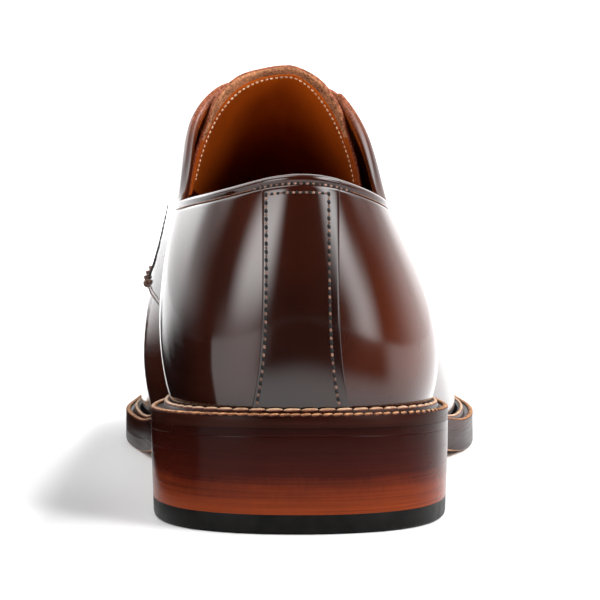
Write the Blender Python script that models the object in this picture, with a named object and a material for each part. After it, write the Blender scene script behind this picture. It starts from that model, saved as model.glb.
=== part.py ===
"""Right-foot derby shoe with a welted leather sole and a stacked heel.

Lengths are in millimetres and are turned into metres where a mesh is made.
The toe points along +Y, the lateral side is +X and the floor is Z = 0.
The tables measure along the shoe from the back of the outsole.

The last is a leaf-shaped surface. Wall sections run from the feather line, where the
upper meets the sole, up to the spine on top of the last. Every leather piece is trimmed
from that one surface or offset from it.
"""

import math
from collections import namedtuple

import bmesh
import bpy
import numpy as np

MM = 0.001
CLEARANCE = 0.3

# Driving dimensions
LENGTH = 304.0
BALL_WIDTH = 104.5
INSTEP_HEIGHT = 115.2
BACK_HEIGHT = 88.7

# Sole and heel
HEEL_HEIGHT = 20.2
HEEL_PITCH = 0.055
TOP_PIECE = 4.9
LEATHER_LIFTS = 3
HEEL_BREAST = 68.0
HEEL_TAPER = 0.6
BREAST_HOLLOW = 3.0
OUTSOLE = 6.0
TOE_SPRING = 12.0
SHANK_START = 72.0
TREAD_START = 172.0
TREAD_END = 212.0
EDGE_ROUND = 0.8
INSOLE = 3.0

# Welt, a flat strip with a raised bead against the upper
WELT = 3.0
WELT_GROOVE = 0.5
BEAD_WIDTH = 1.9
BEAD_HEIGHT = 1.7

# Upper
WALL = 1.6
QUARTER_STEP = 1.2
BACKSTAY = 1.1
TONGUE = 1.6
TONGUE_GAP = 1.25
TONGUE_EASE = 0.25
TONGUE_SLACK = 3.6

# Lacing
EYELETS_PER_SIDE = 5
EYELET_FROM_EDGE = 8.5
EYELET_OUTER, EYELET_HOLE, EYELET_THICK = 3.0, 1.7, 0.8
LACE_RADIUS = 1.25
LACE_RISE = 3.0

# The spine of the last. along is a share of LENGTH, across of BALL_WIDTH and
# height of INSTEP_HEIGHT; fall is the slope of the spine there.
Spine = namedtuple("Spine", "name along across height fall")
SPINE = [
    Spine("heel_back", 0.059, 0.000, 1.020, 0.00),
    Spine("heel_corner", 0.099, 0.000, 1.065, 0.00),
    Spine("heel_side", 0.171, -0.005, 1.100, 0.00),
    Spine("shank", 0.276, -0.020, 1.085, -0.15),
    Spine("instep", 0.382, -0.031, 1.000, -0.40),
    Spine("facing", 0.500, -0.029, 0.850, -0.48),
    Spine("quarter_edge", 0.625, -0.022, 0.683, -0.46),
    Spine("joint", 0.694, -0.019, 0.600, -0.42),
    Spine("vamp", 0.763, -0.021, 0.525, -0.38),
    Spine("toe_corner", 0.822, -0.023, 0.467, -0.35),
    Spine("toe_tip", 0.868, -0.028, 0.423, -0.36),
]

# The wall of the last at the same stations. along and across place its foot on the
# feather line; swell, rise and lean (outward, up, forward) shape it above the foot;
# reach and drop shape it below the spine; margin is how far the welt stands out.
Wall = namedtuple("Wall", "name along across swell rise lean reach drop margin")
LATERAL = [
    Wall("heel_back", 0.018, 0.000, 5.5, 25, 0, 12, 28, 5.5),
    Wall("heel_corner", 0.049, 0.218, 7.8, 26, 0, 17, 23, 6.8),
    Wall("heel_side", 0.138, 0.296, 17.0, 32.5, 0, 1.2, 28.8, 7.4),
    Wall("shank", 0.263, 0.304, 3.5, 31.4, 2, 13.6, 6, 5.4),
    Wall("waist", 0.368, 0.322, 0.5, 42, 4, 20.9, -1.8, 4.8),
    Wall("facing", 0.447, 0.357, 2.5, 41, 7, 20, 0, 5.2),
    Wall("quarter_edge", 0.520, 0.421, 4.5, 32, 8, 25, 0, 5.6),
    Wall("joint", 0.618, 0.469, 4.5, 24, 5, 28, 0, 6.2),
    Wall("vamp", 0.750, 0.443, 4.0, 19, 0, 26, 0, 6.0),
    Wall("toe_corner", 0.905, 0.273, 4.0, 16, 0, 24, 0, 5.6),
    Wall("toe_tip", 0.982, -0.038, 4.0, 15, 0, 22, 0, 5.5),
]
MEDIAL = [
    Wall("heel_corner", 0.049, -0.217, 7.8, 27, 0, 20, 22, 6.9),
    Wall("heel_side", 0.138, -0.285, 15.0, 36, 0, 19.4, 17, 8.0),
    Wall("shank", 0.263, -0.287, 9.8, 37.6, 2, 25.2, 6, 4.6),
    Wall("waist", 0.368, -0.278, 9.2, 46, 4, 34, 3.3, 3.8),
    Wall("facing", 0.454, -0.345, 18.5, 42, 4.5, 23, 1.5, 3.8),
    Wall("quarter_edge", 0.536, -0.382, 14.0, 38, 5.5, 24, 0, 5.0),
    Wall("joint", 0.651, -0.419, 9.0, 32, 4, 22, 0, 6.5),
    Wall("vamp", 0.783, -0.383, 3.0, 23, 0, 20, 0, 5.8),
    Wall("toe_corner", 0.915, -0.297, 3.5, 18, 0, 20, 0, 5.6),
]

# Height of the collar along the shoe, on each side, as shares of BACK_HEIGHT.
Topline = namedtuple("Topline", "along lateral medial")
TOPLINE = [
    Topline(0.0, 1.000, 1.000),
    Topline(8.0, 0.992, 0.992),
    Topline(14.0, 0.958, 0.962),
    Topline(28.0, 0.910, 0.922),
    Topline(54.0, 0.855, 0.893),
    Topline(78.0, 0.890, 0.920),
    Topline(98.0, 1.030, 1.055),
    Topline(118.0, 1.235, 1.245),
    Topline(130.0, 1.400, 1.400),
]

# Half width of the gap between the facings, down the throat.
Throat = namedtuple("Throat", "along half_gap")
THROAT = [Throat(115.5, 17.0), Throat(121.0, 12.2), Throat(127.0, 10.4), Throat(150.0, 9.0), Throat(188.0, 7.5)]
THROAT_ROUND = 8.0

# Half width of the tongue, measured over the instep on each side of the spine.
Tongue = namedtuple("Tongue", "station half_width")
TONGUE_CUT = [Tongue(3.88, 53.0), Tongue(5.0, 37.0), Tongue(6.7, 19.0)]

# Half width of the strip over the back seam, by share of its height.
Backstay = namedtuple("Backstay", "height half_width")
BACKSTAY_CUT = [
    Backstay(0.0, 11.4),
    Backstay(0.15, 9.8),
    Backstay(0.4, 8.2),
    Backstay(1.0, 8.4),
]

# Mesh density
STEPS_PER_STATION = 5
WALL_LEVELS = 12
CROWN_BIAS = 0.75
THROAT_SECTIONS = (0.015, 0.11, 0.26)
STATIONS = len(SPINE) - 1
RING = 2 * STATIONS
QUARTER_EDGE = [row.name for row in SPINE].index("quarter_edge")


def spline(knots, values):
    """Natural cubic spline through values at knots, as a function of arrays."""
    x, v = np.asarray(knots, float), np.asarray(values, float)
    h = np.diff(x)
    system, right = np.eye(len(x)), np.zeros(len(x))
    for i in range(1, len(x) - 1):
        system[i, i - 1 : i + 2] = h[i - 1], 2 * (h[i - 1] + h[i]), h[i]
        right[i] = 6 * ((v[i + 1] - v[i]) / h[i] - (v[i] - v[i - 1]) / h[i - 1])
    bend = np.linalg.solve(system, right)

    def at(where):
        where = np.asarray(where, float)
        i = np.clip(np.searchsorted(x, where) - 1, 0, len(h) - 1)
        a, b = (x[i + 1] - where) / h[i], (where - x[i]) / h[i]
        curve = (a**3 - a) * bend[i] + (b**3 - b) * bend[i + 1]
        return a * v[i] + b * v[i + 1] + curve * h[i] ** 2 / 6

    return at


def ring_spline(values):
    """Spline round the closed ring of wall sections, station by station."""
    wrap = 6
    count = len(values)
    indices = range(-wrap, count + wrap + 1)
    at = spline(list(indices), [values[i % count] for i in indices])
    return lambda where: at(np.mod(where, count))


WALLS = LATERAL + MEDIAL[::-1]
SPINES = SPINE + SPINE[-2:0:-1]
wall = {
    field: ring_spline([getattr(row, field) for row in WALLS])
    for field in Wall._fields[1:]
}
crest = {
    field: ring_spline([getattr(row, field) for row in SPINES])
    for field in Spine._fields[1:]
}
collar_height = {
    side: spline([r.along for r in TOPLINE], [getattr(r, side) * BACK_HEIGHT for r in TOPLINE])
    for side in ("lateral", "medial")
}
throat_gap = spline([r.along for r in THROAT], [r.half_gap for r in THROAT])
spine_along = [r.along * LENGTH for r in SPINE]
spine_across = spline(spine_along, [r.across * BALL_WIDTH for r in SPINE])
spine_height = spline(spine_along, [r.height * INSTEP_HEIGHT for r in SPINE])


def smooth(share):
    share = np.clip(share, 0, 1)
    return share * share * (3 - 2 * share)


def tread_height(y):
    """Underside of the outsole: heel seat falling forward, arch, flat tread and toe spring."""
    run = TREAD_START - SHANK_START
    share = np.clip((y - SHANK_START) / run, 0, 1)
    seat = HEEL_HEIGHT - HEEL_PITCH * np.minimum(y, SHANK_START)
    arch = seat * (1 - smooth(share)) - HEEL_PITCH * run * share * (1 - share) ** 2
    spring = TOE_SPRING * (np.clip(y - TREAD_END, 0, None) / (LENGTH - TREAD_END)) ** 2
    return arch + spring


def seat_height(y):
    """Where the upper, welt and insole stand on the outsole."""
    return tread_height(y) + OUTSOLE + CLEARANCE


def feather(p):
    """Plan of the feather line at ring position p: point and outward direction."""

    def plan(q):
        return np.stack([wall["across"](q) * BALL_WIDTH, wall["along"](q) * LENGTH], -1)

    step = 1e-3
    tangent = plan(p + step) - plan(p - step)
    outward = np.stack([tangent[..., 1], -tangent[..., 0]], -1)
    return plan(p), outward / np.linalg.norm(outward, axis=-1, keepdims=True)


def last_point(p, t):
    """Point of the last at ring position p, t from 0 at the feather line to 1 at the spine."""
    p, t = np.broadcast_arrays(np.asarray(p, float), np.asarray(t, float))
    plan, outward = feather(p)
    foot = np.concatenate([plan, seat_height(plan[..., 1])[..., None]], -1)
    top = np.stack(
        [
            crest["across"](p) * BALL_WIDTH,
            crest["along"](p) * LENGTH,
            crest["height"](p) * INSTEP_HEIGHT,
        ],
        -1,
    )
    level = np.zeros_like(foot[..., :1])
    lean = np.stack([0 * p, wall["lean"](p), wall["rise"](p)], -1)
    above_foot = foot + wall["swell"](p)[..., None] * np.concatenate([outward, level], -1) + lean
    away = foot[..., :2] - top[..., :2]
    away = wall["reach"](p)[..., None] * away / np.linalg.norm(away, axis=-1, keepdims=True)
    fall = crest["fall"](p) * away[..., 1] - wall["drop"](p)
    below_top = top + np.concatenate([away, fall[..., None]], -1)
    t = t[..., None]
    return (
        (1 - t) ** 3 * foot
        + 3 * t * (1 - t) ** 2 * above_foot
        + 3 * t**2 * (1 - t) * below_top
        + t**3 * top
    )


def last_normal(p, t):
    """Outward unit normal of the last."""
    step = 1e-3
    t = np.clip(t, 0, 0.99)
    around = last_point(p + step, t) - last_point(p - step, t)
    upward = last_point(p, t + step) - last_point(p, t - step)
    normal = np.cross(around, upward)
    return normal / np.linalg.norm(normal, axis=-1, keepdims=True)


def surface(p, t, offset):
    """Point at a distance outside the last, or inside it where offset is negative."""
    p, t, offset = np.broadcast_arrays(p, t, offset)
    return last_point(p, t) + offset[..., None] * last_normal(p, t)


def in_opening(points, lateral):
    """True where a point of the last lies inside the collar or the throat."""
    x, y, z = points[..., 0], points[..., 1], points[..., 2]
    throat_top, throat_foot = THROAT[0].along, THROAT[-1].along
    collar = collar_height["lateral" if lateral else "medial"](y)
    over_collar = (y < throat_top) & (z > collar)
    round_end = np.sqrt(np.clip(1 - (np.clip(y - throat_foot, 0, None) / THROAT_ROUND) ** 2, 0, 1))
    gap = throat_gap(np.minimum(y, throat_foot)) * round_end
    return over_collar | ((y >= throat_top) & (np.abs(x - spine_across(y)) < gap))


def edge_of(p):
    """t where the wall section at p meets the collar or throat, or 1 if it reaches the spine."""
    fine = np.linspace(0, 1, 801)
    inside = in_opening(last_point(p, fine), p % RING <= STATIONS)
    return fine[np.argmax(inside)] if inside.any() else 1.0


def t_from(p, start, distance):
    """t reached by going a distance down the wall section at p from t = start."""
    fine = np.linspace(start, 0, 400)
    points = last_point(p, fine)
    run = np.concatenate([[0], np.cumsum(np.linalg.norm(np.diff(points, axis=0), axis=1))])
    return float(np.interp(distance, run, fine))


def t_at_rise(p, rise):
    """t where the wall section at p stands that high above its foot."""
    fine = np.linspace(0, 0.4, 200)
    heights = last_point(p, fine)[:, 2]
    return float(np.interp(rise, heights - heights[0], fine))


def material(name, colour, roughness, metallic=0.0):
    made = bpy.data.materials.new(name)
    made.use_nodes = True
    shader = made.node_tree.nodes["Principled BSDF"]
    shader.inputs["Base Color"].default_value = (*colour, 1)
    shader.inputs["Roughness"].default_value = roughness
    shader.inputs["Metallic"].default_value = metallic
    return made


class Builder:
    """Collects points, in millimetres, and faces, and makes them one named object."""

    def __init__(self):
        self.mesh = bmesh.new()

    def points(self, rows):
        """Vertices for an array of points of any shape, as nested lists."""
        rows = np.asarray(rows)
        if rows.ndim == 1:
            return self.mesh.verts.new(rows * MM)
        return [self.points(row) for row in rows]

    def face(self, *corners):
        distinct = [c for i, c in enumerate(corners) if c is not corners[i - 1]]
        self.mesh.faces.new(distinct)

    def strip(self, first, second, closed=False):
        """Faces between two rows of vertices."""
        for i in range(len(first) - (not closed)):
            j = (i + 1) % len(first)
            self.face(first[i], first[j], second[j], second[i])

    def rungs(self, ring, upward):
        """Cap a ring whose two halves run side by side from one end to the other."""
        count = len(ring)
        for i in range(count // 2):
            corners = [ring[i], ring[i + 1], ring[-i - 1], ring[-i % count]]
            self.face(*(corners if upward else corners[::-1]))

    def finish(self, name, skin, parent):
        bmesh.ops.recalc_face_normals(self.mesh, faces=self.mesh.faces)
        data = bpy.data.meshes.new(name)
        self.mesh.to_mesh(data)
        self.mesh.free()
        data.shade_smooth()
        data.set_sharp_from_angle(angle=math.radians(40))
        data.materials.append(skin)
        made = bpy.data.objects.new(name, data)
        made.parent = parent
        bpy.context.scene.collection.objects.link(made)
        return made


def ring_slab(name, rings, skin, parent):
    """Slab stacked from outline rings, bottom to top, capped across from side to side."""
    build = Builder()
    made = build.points(rings)
    for lower, upper in zip(made, made[1:]):
        build.strip(lower, upper, closed=True)
    build.rungs(made[0], upward=False)
    build.rungs(made[-1], upward=True)
    return build.finish(name, skin, parent)


def sheet_solid(name, outer, inner, skin, parent):
    """Curved sheet between two grids of points."""
    build = Builder()
    out, inn = build.points(outer), build.points(inner)
    for i in range(len(out) - 1):
        build.strip(out[i], out[i + 1])
        build.strip(inn[i + 1], inn[i])
    build.strip(inn[0], out[0])
    build.strip(out[-1], inn[-1])
    build.strip([row[0] for row in out], [row[0] for row in inn])
    build.strip([row[-1] for row in inn], [row[-1] for row in out])
    return build.finish(name, skin, parent)


def ring_positions():
    """Ring positions of the wall sections, round the shoe from the heel back."""
    half = np.linspace(0, STATIONS, STATIONS * STEPS_PER_STATION + 1)
    return np.concatenate([half, RING - half[-2:0:-1]])


def sole_ring(positions, stand_out, height):
    """Outline ring at a distance outside the feather line, at a height above the tread."""
    plan, outward = feather(positions)
    edge = plan + np.asarray(stand_out)[..., None] * outward
    return np.concatenate([edge, (tread_height(edge[:, 1]) + height)[:, None]], 1)


def make_outsole(skin, parent):
    ring = ring_positions()
    margin = wall["margin"](ring)
    rings = [
        sole_ring(ring, margin - EDGE_ROUND, 0),
        sole_ring(ring, margin, EDGE_ROUND),
        sole_ring(ring, margin, OUTSOLE),
    ]
    return ring_slab("outsole", rings, skin, parent)


def make_insole(skin, parent):
    ring = ring_positions()
    inset = -(WALL + 2 * CLEARANCE)
    base = OUTSOLE + CLEARANCE
    rings = [sole_ring(ring, inset + 0 * ring, base + rise) for rise in (0, INSOLE)]
    return ring_slab("insole", rings, skin, parent)


def make_welt(skin, parent):
    """Strip round the whole shoe: flat ledge, stitch groove and a bead at the upper."""
    build = Builder()
    rows = []
    for p in ring_positions():
        plan, outward = feather(p)
        margin = float(wall["margin"](p))

        def at(stand_out, rise):
            x, y = plan + stand_out * outward
            return [x, y, seat_height(y) + rise]

        def at_upper(rise):
            beside = surface(p, t_at_rise(p, rise), QUARTER_STEP + CLEARANCE)
            return float((beside[:2] - plan) @ outward)

        bead_top = WELT + BEAD_HEIGHT
        inner = max(at_upper(rise) for rise in (0, WELT, bead_top))
        bead = min(BEAD_WIDTH, margin - inner - EDGE_ROUND)
        rows.append(
            [
                at(inner, 0),
                at(margin, 0),
                at(margin, WELT - EDGE_ROUND),
                at(margin - EDGE_ROUND, WELT),
                at(inner + bead, WELT - WELT_GROOVE),
                at(inner + 0.6 * bead, bead_top),
                at(inner, bead_top),
            ]
        )
    made = build.points(rows)
    for i, row in enumerate(made):
        build.strip(row, made[(i + 1) % len(made)], closed=True)
    return build.finish("welt", skin, parent)


def heel_outline(inset):
    """Plan of a heel lift: the outsole's edge behind a hollowed breast line."""
    ring = np.linspace(-4, 4, 400)
    plan, outward = feather(ring)
    edge = plan + (wall["margin"](ring) - inset)[:, None] * outward
    edge = edge[edge[:, 1] < HEEL_BREAST][::10]
    medial, lateral = edge[0], edge[-1]
    breast = []
    for share in np.linspace(0, 1, 9):
        hollow = BREAST_HOLLOW * 4 * share * (1 - share)
        x = lateral[0] + (medial[0] - lateral[0]) * share
        breast.append([x, HEEL_BREAST - hollow])
    return np.concatenate([edge, breast])


def make_heel_layer(name, low, high, skin, parent):
    """One layer of the heel, tapering towards the floor. Above the level top piece the
    layers thin towards the breast, because the heel seat falls forward."""
    build = Builder()
    rings = []
    for z in (low, high):
        plan = heel_outline(HEEL_TAPER * (1 - z / HEEL_HEIGHT))
        thinned = (tread_height(plan[:, 1]) - TOP_PIECE) / (HEEL_HEIGHT - TOP_PIECE)
        heights = np.minimum(z, TOP_PIECE) + max(z - TOP_PIECE, 0) * thinned
        rings.append(build.points(np.column_stack([plan, heights])))
    build.strip(*rings, closed=True)
    build.face(*reversed(rings[0]))
    build.face(*rings[1])
    return build.finish(name, skin, parent)


def make_heel(leather, rubber, parent):
    make_heel_layer("heel_top_piece", 0, TOP_PIECE, rubber, parent)
    first = TOP_PIECE + CLEARANCE
    pitch = (HEEL_HEIGHT - first) / LEATHER_LIFTS
    for i in range(LEATHER_LIFTS):
        low = first + i * pitch
        make_heel_layer(f"heel_lift_{i + 1}", low, low + pitch - CLEARANCE, leather, parent)


def make_upper(skin, parent):
    """Hollow shell of vamp and quarters. The quarters lie over the vamp as a step in the
    wall, and the shell is open under the foot, at the collar and down the throat."""
    half = np.linspace(0, STATIONS, STATIONS * STEPS_PER_STATION + 1)
    half = np.union1d(half, QUARTER_EDGE + np.array(THROAT_SECTIONS))
    ring = np.concatenate([half, RING - half[-2:0:-1]])
    on_quarter = np.minimum(ring, RING - ring) <= QUARTER_EDGE
    edges = np.array([edge_of(p) for p in ring])
    count = len(ring)
    build = Builder()
    outer, inner = [], []
    for k, (p, edge) in enumerate(zip(ring, edges)):
        levels = edge * np.linspace(0, 1, WALL_LEVELS + 1) ** CROWN_BIAS
        step = QUARTER_STEP if on_quarter[k] else 0.0
        partner = count - k
        shared = edge == 1 and partner < k
        for side, offset in ((outer, step), (inner, -WALL)):
            points = surface(p, levels, offset)
            points[0, 2] = seat_height(points[0, 1])
            made = build.points(points[:-1] if shared else points)
            side.append(made + [side[partner][-1]] if shared else made)
    for k in range(count):
        j = (k + 1) % count
        build.strip([outer[k][0], inner[k][0]], [outer[j][0], inner[j][0]])
        if edges[k] < 1 or edges[j] < 1:
            build.strip([outer[k][-1], inner[k][-1]], [outer[j][-1], inner[j][-1]])
        build.strip(outer[k], outer[j])
        build.strip(inner[j], inner[k])
    return build.finish("upper", skin, parent)


def make_backstay(skin, parent):
    """Strip over the back seam, from the welt's bead to the collar."""
    columns, rows = 8, 10
    cut = spline([r.height for r in BACKSTAY_CUT], [r.half_width for r in BACKSTAY_CUT])
    low = t_at_rise(0, WELT + BEAD_HEIGHT + 2 * CLEARANCE)
    inside = QUARTER_STEP + CLEARANCE
    near_back = np.linspace(-1.2, 1.2, 400)
    outer, inner = [], []
    for share in np.linspace(0, 1, rows + 1):
        across = last_point(near_back, low + share * (edge_of(0) - low))[:, 0]
        half_width = cut(share)
        p = np.interp(np.linspace(-half_width, half_width, columns + 1), across, near_back)
        t = low + share * (np.array([edge_of(q) for q in p]) - low)
        outer.append(surface(p, t, inside + BACKSTAY))
        inner.append(surface(p, t, inside))
    return sheet_solid("backstay", outer, inner, skin, parent)


def make_tongue(skin, parent):
    """Sheet under the facings. Its lateral edge stands off the quarter near the top."""
    rows, columns = 15, 9
    cut = spline([r.station for r in TONGUE_CUT], [r.half_width for r in TONGUE_CUT])
    top, foot = TONGUE_CUT[0].station, TONGUE_CUT[-1].station
    outer, inner = [], []
    for station in np.linspace(top, foot, rows + 1):
        shares = np.linspace(1, 0, columns + 1)
        halves = []
        for p, lateral in ((station, True), (RING - station, False)):
            t = np.array([t_from(p, 1.0, share * cut(station)) for share in shares])
            free = smooth((5.0 - station) / (5.0 - top))
            loose = TONGUE_SLACK * free * shares**4
            depth = WALL + TONGUE_GAP - TONGUE_EASE * free + (loose if lateral else 0 * loose)
            halves.append([surface(p, t, -depth), surface(p, t, -depth - TONGUE)])
        for side, made in enumerate((outer, inner)):
            made.append(np.concatenate([halves[0][side], halves[1][side][-2::-1]]))
    return sheet_solid("tongue", outer, inner, skin, parent)


def eyelet_stations():
    return np.linspace(4.45, 5.84, EYELETS_PER_SIDE)


def eyelet_place(p):
    """t of the eyelet on the wall section at p."""
    return t_from(p, edge_of(p), EYELET_FROM_EDGE)


def make_eyelet(name, p, skin, parent):
    """Flat metal ring let into the facing."""
    segments = 10
    t = eyelet_place(p)
    base = surface(p, t, QUARTER_STEP + CLEARANCE)
    normal = last_normal(p, t)
    side = np.cross(normal, [0, 0, 1.0])
    side /= np.linalg.norm(side)
    along = np.cross(normal, side)
    profile = [
        (EYELET_HOLE, 0),
        (EYELET_OUTER, 0.15),
        (EYELET_OUTER - 0.5, EYELET_THICK),
        (EYELET_HOLE, EYELET_THICK),
    ]
    build = Builder()
    rows = []
    for angle in np.linspace(0, 2 * math.pi, segments, endpoint=False):
        ray = math.cos(angle) * side + math.sin(angle) * along
        rows.append([base + radius * ray + rise * normal for radius, rise in profile])
    made = build.points(rows)
    for i, row in enumerate(made):
        build.strip(row, made[(i + 1) % segments], closed=True)
    return build.finish(name, skin, parent)


def make_lace_bar(name, station, skin, parent):
    """Lace laid straight over the throat from one eyelet to the other."""
    points, sides = 11, 6
    offset = QUARTER_STEP + 3 * CLEARANCE + EYELET_THICK + LACE_RADIUS
    ends = [surface(p, eyelet_place(p), offset) for p in (station, RING - station)]
    middle = (ends[0] + ends[1]) / 2
    crown = spine_height(middle[1]) + LACE_RISE
    path = []
    for share in np.linspace(0, 1, points):
        arch = 4 * share * (1 - share) * (crown - middle[2])
        path.append(ends[0] + (ends[1] - ends[0]) * share + [0, 0, arch])
    build = Builder()
    rows = []
    for i, centre in enumerate(path):
        ahead = path[min(i + 1, len(path) - 1)] - path[max(i - 1, 0)]
        ahead /= np.linalg.norm(ahead)
        side = np.cross(ahead, [0, 0, 1.0])
        side /= np.linalg.norm(side)
        up = np.cross(side, ahead)
        angles = np.linspace(0, 2 * math.pi, sides, endpoint=False)
        ring = np.cos(angles)[:, None] * side + np.sin(angles)[:, None] * up
        rows.append(centre + LACE_RADIUS * ring)
    made = build.points(rows)
    for first, second in zip(made, made[1:]):
        build.strip(first, second, closed=True)
    build.face(*reversed(made[0]))
    build.face(*made[-1])
    return build.finish(name, skin, parent)


def make_lacing(metal, cord, parent):
    for i, station in enumerate(eyelet_stations(), 1):
        make_eyelet(f"eyelet_lateral_{i}", station, metal, parent)
        make_eyelet(f"eyelet_medial_{i}", RING - station, metal, parent)
        make_lace_bar(f"lace_bar_{i}", station, cord, parent)


def make_origin():
    """Empty that puts the middle of the outsole's outline over the origin."""
    ring = ring_positions()
    plan = sole_ring(ring, wall["margin"](ring), 0)[:, :2]
    middle = (plan.min(axis=0) + plan.max(axis=0)) / 2
    origin = bpy.data.objects.new("shoe", None)
    origin.location = (-middle[0] * MM, -middle[1] * MM, 0)
    bpy.context.scene.collection.objects.link(origin)
    return origin


def main():
    for old in list(bpy.data.objects):
        bpy.data.objects.remove(old)
    calf = material("calf_brown", (0.075, 0.027, 0.014), 0.25)
    lining = material("lining_tan", (0.48, 0.16, 0.035), 0.5)
    sole_leather = material("sole_leather", (0.13, 0.045, 0.022), 0.4)
    heel_leather = material("heel_leather", (0.22, 0.062, 0.024), 0.4)
    rubber = material("rubber_black", (0.012, 0.012, 0.012), 0.55)
    metal = material("eyelet_bronze", (0.10, 0.06, 0.04), 0.35, 1.0)
    cord = material("lace_brown", (0.045, 0.020, 0.012), 0.7)
    shoe = make_origin()
    make_outsole(sole_leather, shoe)
    make_heel(heel_leather, rubber, shoe)
    make_welt(sole_leather, shoe)
    make_insole(lining, shoe)
    make_upper(calf, shoe)
    make_backstay(calf, shoe)
    make_tongue(calf, shoe)
    make_lacing(metal, cord, shoe)


main()
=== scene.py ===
import math

import bmesh
import bpy
import numpy as np
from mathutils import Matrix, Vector


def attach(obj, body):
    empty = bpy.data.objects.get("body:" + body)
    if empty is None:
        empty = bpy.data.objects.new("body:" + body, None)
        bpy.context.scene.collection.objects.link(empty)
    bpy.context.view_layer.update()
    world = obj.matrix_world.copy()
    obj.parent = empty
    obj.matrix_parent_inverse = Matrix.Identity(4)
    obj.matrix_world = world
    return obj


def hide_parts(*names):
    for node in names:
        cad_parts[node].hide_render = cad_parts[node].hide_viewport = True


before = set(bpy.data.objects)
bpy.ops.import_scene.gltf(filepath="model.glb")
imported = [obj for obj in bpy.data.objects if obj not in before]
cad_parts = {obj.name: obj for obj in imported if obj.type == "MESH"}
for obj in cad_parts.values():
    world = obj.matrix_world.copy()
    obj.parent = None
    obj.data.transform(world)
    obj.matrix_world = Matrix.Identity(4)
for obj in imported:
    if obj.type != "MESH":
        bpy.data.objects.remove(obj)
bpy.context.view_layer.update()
print("frame loaded:", len(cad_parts), "nodes")

# lengths are in millimetres from the back of the outsole; toe +Y, lateral side +X
last = {
    "length": 304.0, "ballWidth": 104.5, "instep": 115.2, "backHeight": 88.7,
    "heel": 20.2, "pitch": 0.055, "outsole": 6.0, "toeSpring": 12.0, "shank": 72.0, "tread": (172.0, 212.0),
    "clearance": 0.3, "wall": 1.6, "quarterEdge": 6,
    # along, across, height, fall
    "spine": [
        (0.059, 0.000, 1.020, 0.00), (0.099, 0.000, 1.065, 0.00), (0.171, -0.005, 1.100, 0.00),
        (0.276, -0.020, 1.085, -0.15), (0.382, -0.031, 1.000, -0.40), (0.500, -0.029, 0.850, -0.48),
        (0.625, -0.022, 0.683, -0.46), (0.694, -0.019, 0.600, -0.42), (0.763, -0.021, 0.525, -0.38),
        (0.822, -0.023, 0.467, -0.35), (0.868, -0.028, 0.423, -0.36),
    ],
    # along, across, swell, rise, lean, reach, drop, margin
    "lateral": [
        (0.018, 0.000, 5.5, 25, 0, 12, 28, 5.5), (0.049, 0.218, 7.8, 26, 0, 17, 23, 6.8),
        (0.138, 0.296, 17.0, 32.5, 0, 1.2, 28.8, 7.4), (0.263, 0.304, 3.5, 31.4, 2, 13.6, 6, 5.4),
        (0.368, 0.322, 0.5, 42, 4, 20.9, -1.8, 4.8), (0.447, 0.357, 2.5, 41, 7, 20, 0, 5.2),
        (0.520, 0.421, 4.5, 32, 8, 25, 0, 5.6), (0.618, 0.469, 4.5, 24, 5, 28, 0, 6.2),
        (0.750, 0.443, 4.0, 19, 0, 26, 0, 6.0), (0.905, 0.273, 4.0, 16, 0, 24, 0, 5.6),
        (0.982, -0.038, 4.0, 15, 0, 22, 0, 5.5),
    ],
    "medial": [
        (0.049, -0.217, 7.8, 27, 0, 20, 22, 6.9), (0.138, -0.285, 15.0, 36, 0, 19.4, 17, 8.0),
        (0.263, -0.287, 9.8, 37.6, 2, 25.2, 6, 4.6), (0.368, -0.278, 9.2, 46, 4, 34, 3.3, 3.8),
        (0.454, -0.345, 18.5, 42, 4.5, 23, 1.5, 3.8), (0.536, -0.382, 14.0, 38, 5.5, 24, 0, 5.0),
        (0.651, -0.419, 9.0, 32, 4, 22, 0, 6.5), (0.783, -0.383, 3.0, 23, 0, 20, 0, 5.8),
        (0.915, -0.297, 3.5, 18, 0, 20, 0, 5.6),
    ],
    # along, lateral and medial collar height
    "topline": [
        (0, 1.000, 1.000), (8, 0.992, 0.992), (14, 0.958, 0.962), (28, 0.910, 0.922), (54, 0.855, 0.893),
        (78, 0.890, 0.920), (98, 1.030, 1.055), (118, 1.235, 1.245), (130, 1.400, 1.400),
    ],
    "throat": [(115.5, 17.0), (121.0, 12.2), (127.0, 10.4), (150.0, 9.0), (188.0, 7.5)], "throatRound": 8.0,
}
stations = len(last["spine"]) - 1
ringSize = 2 * stations


def spline(knots, values):
    x, v = np.asarray(knots, float), np.asarray(values, float)
    h = np.diff(x)
    system, right = np.eye(len(x)), np.zeros(len(x))
    for i in range(1, len(x) - 1):
        system[i, i - 1 : i + 2] = h[i - 1], 2 * (h[i - 1] + h[i]), h[i]
        right[i] = 6 * ((v[i + 1] - v[i]) / h[i] - (v[i] - v[i - 1]) / h[i - 1])
    bend = np.linalg.solve(system, right)

    def at(where):
        where = np.asarray(where, float)
        i = np.clip(np.searchsorted(x, where) - 1, 0, len(h) - 1)
        a, b = (x[i + 1] - where) / h[i], (where - x[i]) / h[i]
        curve = (a**3 - a) * bend[i] + (b**3 - b) * bend[i + 1]
        return a * v[i] + b * v[i + 1] + curve * h[i] ** 2 / 6

    return at


def ringSpline(values):
    count, wrap = len(values), 6
    indices = range(-wrap, count + wrap + 1)
    at = spline(list(indices), [values[i % count] for i in indices])
    return lambda where: at(np.mod(where, count))


def tableSplines(rows, names, make):
    return {name: make([row[i] for row in rows]) for i, name in enumerate(names)}


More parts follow.
